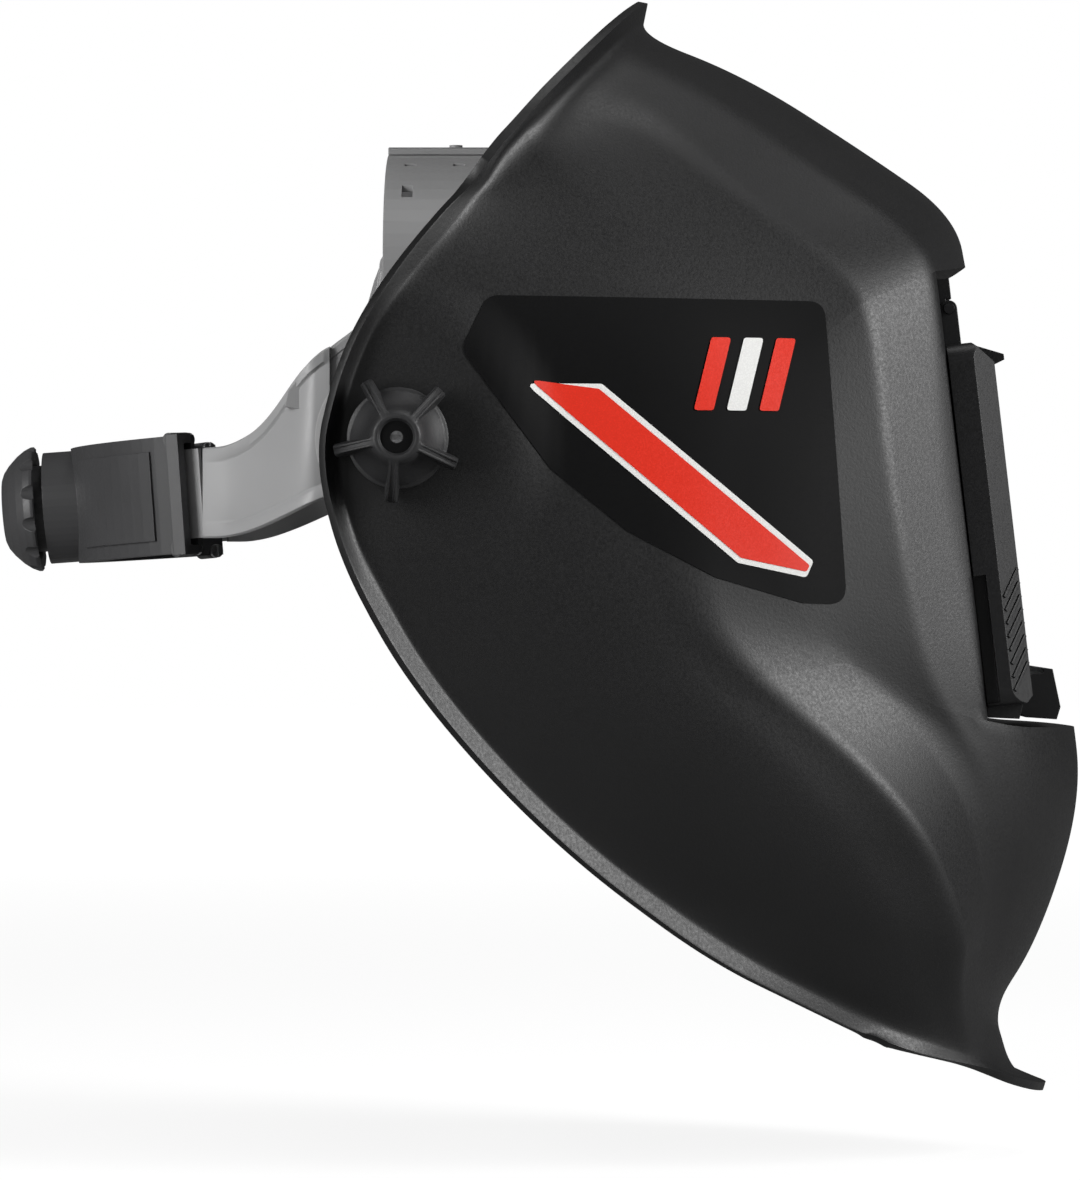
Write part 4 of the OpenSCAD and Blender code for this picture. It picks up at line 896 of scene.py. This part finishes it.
def strap_ring(x, y, out, border):
    """Cross-section of the strap; border tells how far its two raised edges stand up there."""
    low, high = strap_height(x, 1), strap_height(x, 2)
    face = STRAP_T / 2
    raised = face + 0.45 * border
    across = [(0.0, 0.35), (0.5, raised), (3.3, raised), (3.9, face), (4.4, 0.62 + 0.18 * (1 - border)),
              (4.9, face)]
    outline = [(low + h, t) for h, t in across] + [(high - h, t) for h, t in reversed(across)]
    outline += [(high - 0.3, -face), (low + 0.3, -face)]
    return [Vector((x, y, 0)) + out * t + Vector((0, 0, h)) for h, t in outline]


def build_strap(side):
    """Strap with a raised border along both edges, from the headband to the ratchet, as one fixed mesh."""
    hand = "right" if side < 0 else "left"
    last = len(STRAP_PATH) - 1
    weights = spline_weights(len(STRAP_PATH), [last * i / STRAP_STEPS for i in range(STRAP_STEPS + 1)])
    path = weights @ np.array(STRAP_PATH, float) + np.array([0, BAND_OUT])
    rings = []
    for i, (x, y) in enumerate(path):
        ahead, behind = path[min(i + 1, STRAP_STEPS)], path[max(i - 1, 0)]
        along = Vector((ahead[0] - behind[0], ahead[1] - behind[1], 0)).normalized()
        out = Vector((-along.y, along.x, 0))
        if out.y < 0:
            out = -out
        border = min(1.0, (i + 2) / 6) * min(1.0, (STRAP_STEPS - i) / 14)
        rings.append(strap_ring(x, y, out, border))
    points, faces = loft(rings)
    points = [(p[0], side * p[1], p[2]) for p in points]
    strap = make_object(f"rear_strap_{hand}", points, faces, HEADGEAR_GREY, 40)
    finish_piece(strap, None, "headgear_grey", f"strap_{hand}")
    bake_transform(strap)
    return strap


# control points in (x, z), from the lower front round the rear edge to the top
SIDE_PLATE = [(-10, 4), (-18, 9), (-26, 17), (-24.8, 21.4), (-19.4, 26.2), (-12.4, 31.2), (-7.8, 36.5),
              (-6.2, 45), (-5.6, 53), (12, 53), (12, 20)]
PLATE_STEPS = 8  # per control point
PLATE_CENTRE = (2, 22)
BORDER_FROM = 22  # points left free at both ends of the raised border
BORDER = ((0.5, 0.2), (0.7, 0.72), (2.6, 0.72), (2.9, 0.2))  # distance from the edge and height


def build_side_plate(side):
    """Smooth outer face of the headband's side, with a raised border along its rear edge."""
    hand = "right" if side < 0 else "left"
    steps = PLATE_STEPS * (len(SIDE_PLATE) - 1)
    places = [i / PLATE_STEPS for i in range(steps + 1)]
    outline = [(x, z) for x, z in spline_weights(len(SIDE_PLATE), places) @ np.array(SIDE_PLATE, float)]
    middle_x, middle_z = PLATE_CENTRE
    rings = []
    for inset, y in ((0.0, BAND_OUT - 0.6), (0.0, BAND_OUT + 0.3), (0.25, BAND_OUT + 0.5)):
        rings.append([(x + (middle_x - x) * inset / 30, side * y, z + (middle_z - z) * inset / 30)
                      for x, z in outline])
    plate = loft(rings)
    edge = []
    for i in range(BORDER_FROM, len(outline) - BORDER_FROM):
        (x0, z0), (x1, z1) = outline[i - 1], outline[i + 1]
        along = Vector((x1 - x0, 0, z1 - z0)).normalized()
        inward = Vector((along.z, 0, -along.x))
        at = Vector((outline[i][0], 0, outline[i][1]))
        edge.append([at + inward * d + Vector((0, side * (BAND_OUT + h), 0)) for d, h in BORDER])
    points, faces = joined([plate, loft(edge)])
    piece = make_object(f"side_plate_{hand}", points, faces, HEADGEAR_GREY, 40)
    return finish_piece(piece, "headgear", "headgear_grey")


# ---------------------------------------------------------------- pads
def crowned_pad(name, line, low, high, thick, crown, body, place, node, seams=3):
    """Soft pad along a line of (point, inward normal): crowned towards the head, pinched at its edges."""
    last = len(line) - 1
    across_steps = 14
    rings = []
    for i, (at, inward) in enumerate(line):
        end = math.sin(math.pi * i / last) ** 0.22 if 0 < i < last else 0.05
        channel = 1.0
        for k in range(1, seams + 1):
            away = abs(i / last - k / (seams + 1)) * last
            channel -= 0.45 * math.exp(-(away / 1.1) ** 2)
        front, back = [], []
        for k in range(across_steps + 1):
            t = k / across_steps
            bulge = (1 - abs(2 * t - 1) ** 3.2) ** 0.5
            z = low + (high - low) * (0.5 + (t - 0.5) * (0.86 + 0.14 * end))
            depth = 0.35 + (thick + crown) * bulge * end * channel
            front.append(at + inward * depth + Vector((0, 0, z)))
            back.append(at + Vector((0, 0, z)))
        rings.append(front + list(reversed(back)))
    points, faces = loft(rings)
    pad = make_object(name, placed(points, place), faces, PAD_FABRIC, 80)
    sub = pad.modifiers.new("smooth", "SUBSURF")
    sub.levels = 1
    sub.render_levels = 1
    apply_modifiers(pad)
    soften(pad, 80)
    return finish_piece(pad, body, "pad", node)


HEAD_HALF, HEAD_FRONT, FLAT_FRONT = 77.6, 101.6, 24.0  # inside of the headband, and where its curve starts
BAND_H, BAND_UP, BAND_TILT = 26.0, 3, math.radians(14)
BROW_SPAN, REAR_SPAN = math.radians(130), math.radians(88)
REAR_R, REAR_H = 57.9, 25.0


def build_pads():
    """Brow pad inside the headband and rear pad inside the ratchet."""
    line = []
    for i in range(61):
        a = -BROW_SPAN / 2 + BROW_SPAN * i / 60
        at = Vector((FLAT_FRONT + (HEAD_FRONT - FLAT_FRONT) * math.cos(a), HEAD_HALF * math.sin(a), 0))
        line.append((at, Vector((-math.cos(a), -math.sin(a), 0))))
    band_place = Matrix.Translation((0, 0, BAND_UP)) @ Matrix.Rotation(-BAND_TILT, 4, "Y")
    reach = BAND_H / 2 + 1
    crowned_pad("brow_cushion", line, -reach, reach, 5.2, 1.2, "headgear", band_place, "brow_pad", 5)
    line = []
    for i in range(51):
        a = -REAR_SPAN / 2 + REAR_SPAN * i / 50
        at = Vector((-REAR_R * math.cos(a), REAR_R * math.sin(a), 0))
        line.append((at, Vector((math.cos(a), -math.sin(a), 0))))
    ratchet_place = place_matrix(RATCHET_AT, RATCHET_FORWARD, Vector((0, 1, 0)), RATCHET_UP)
    crowned_pad("rear_cushion", line, -REAR_H / 2, REAR_H / 2, 4.4, 1.0, "ratchet", ratchet_place,
                "rear_pad", 3)


# ---------------------------------------------------------------- assembly
set_stage()
dress_nodes()
shell = build_shell()
shell_tree = surface_tree(shell)
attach(shell, "shell")
build_labels(shell_tree)
for side in (-1, 1):
    build_star_knob(side)
    build_strap(side)
    build_side_plate(side)
build_pads()
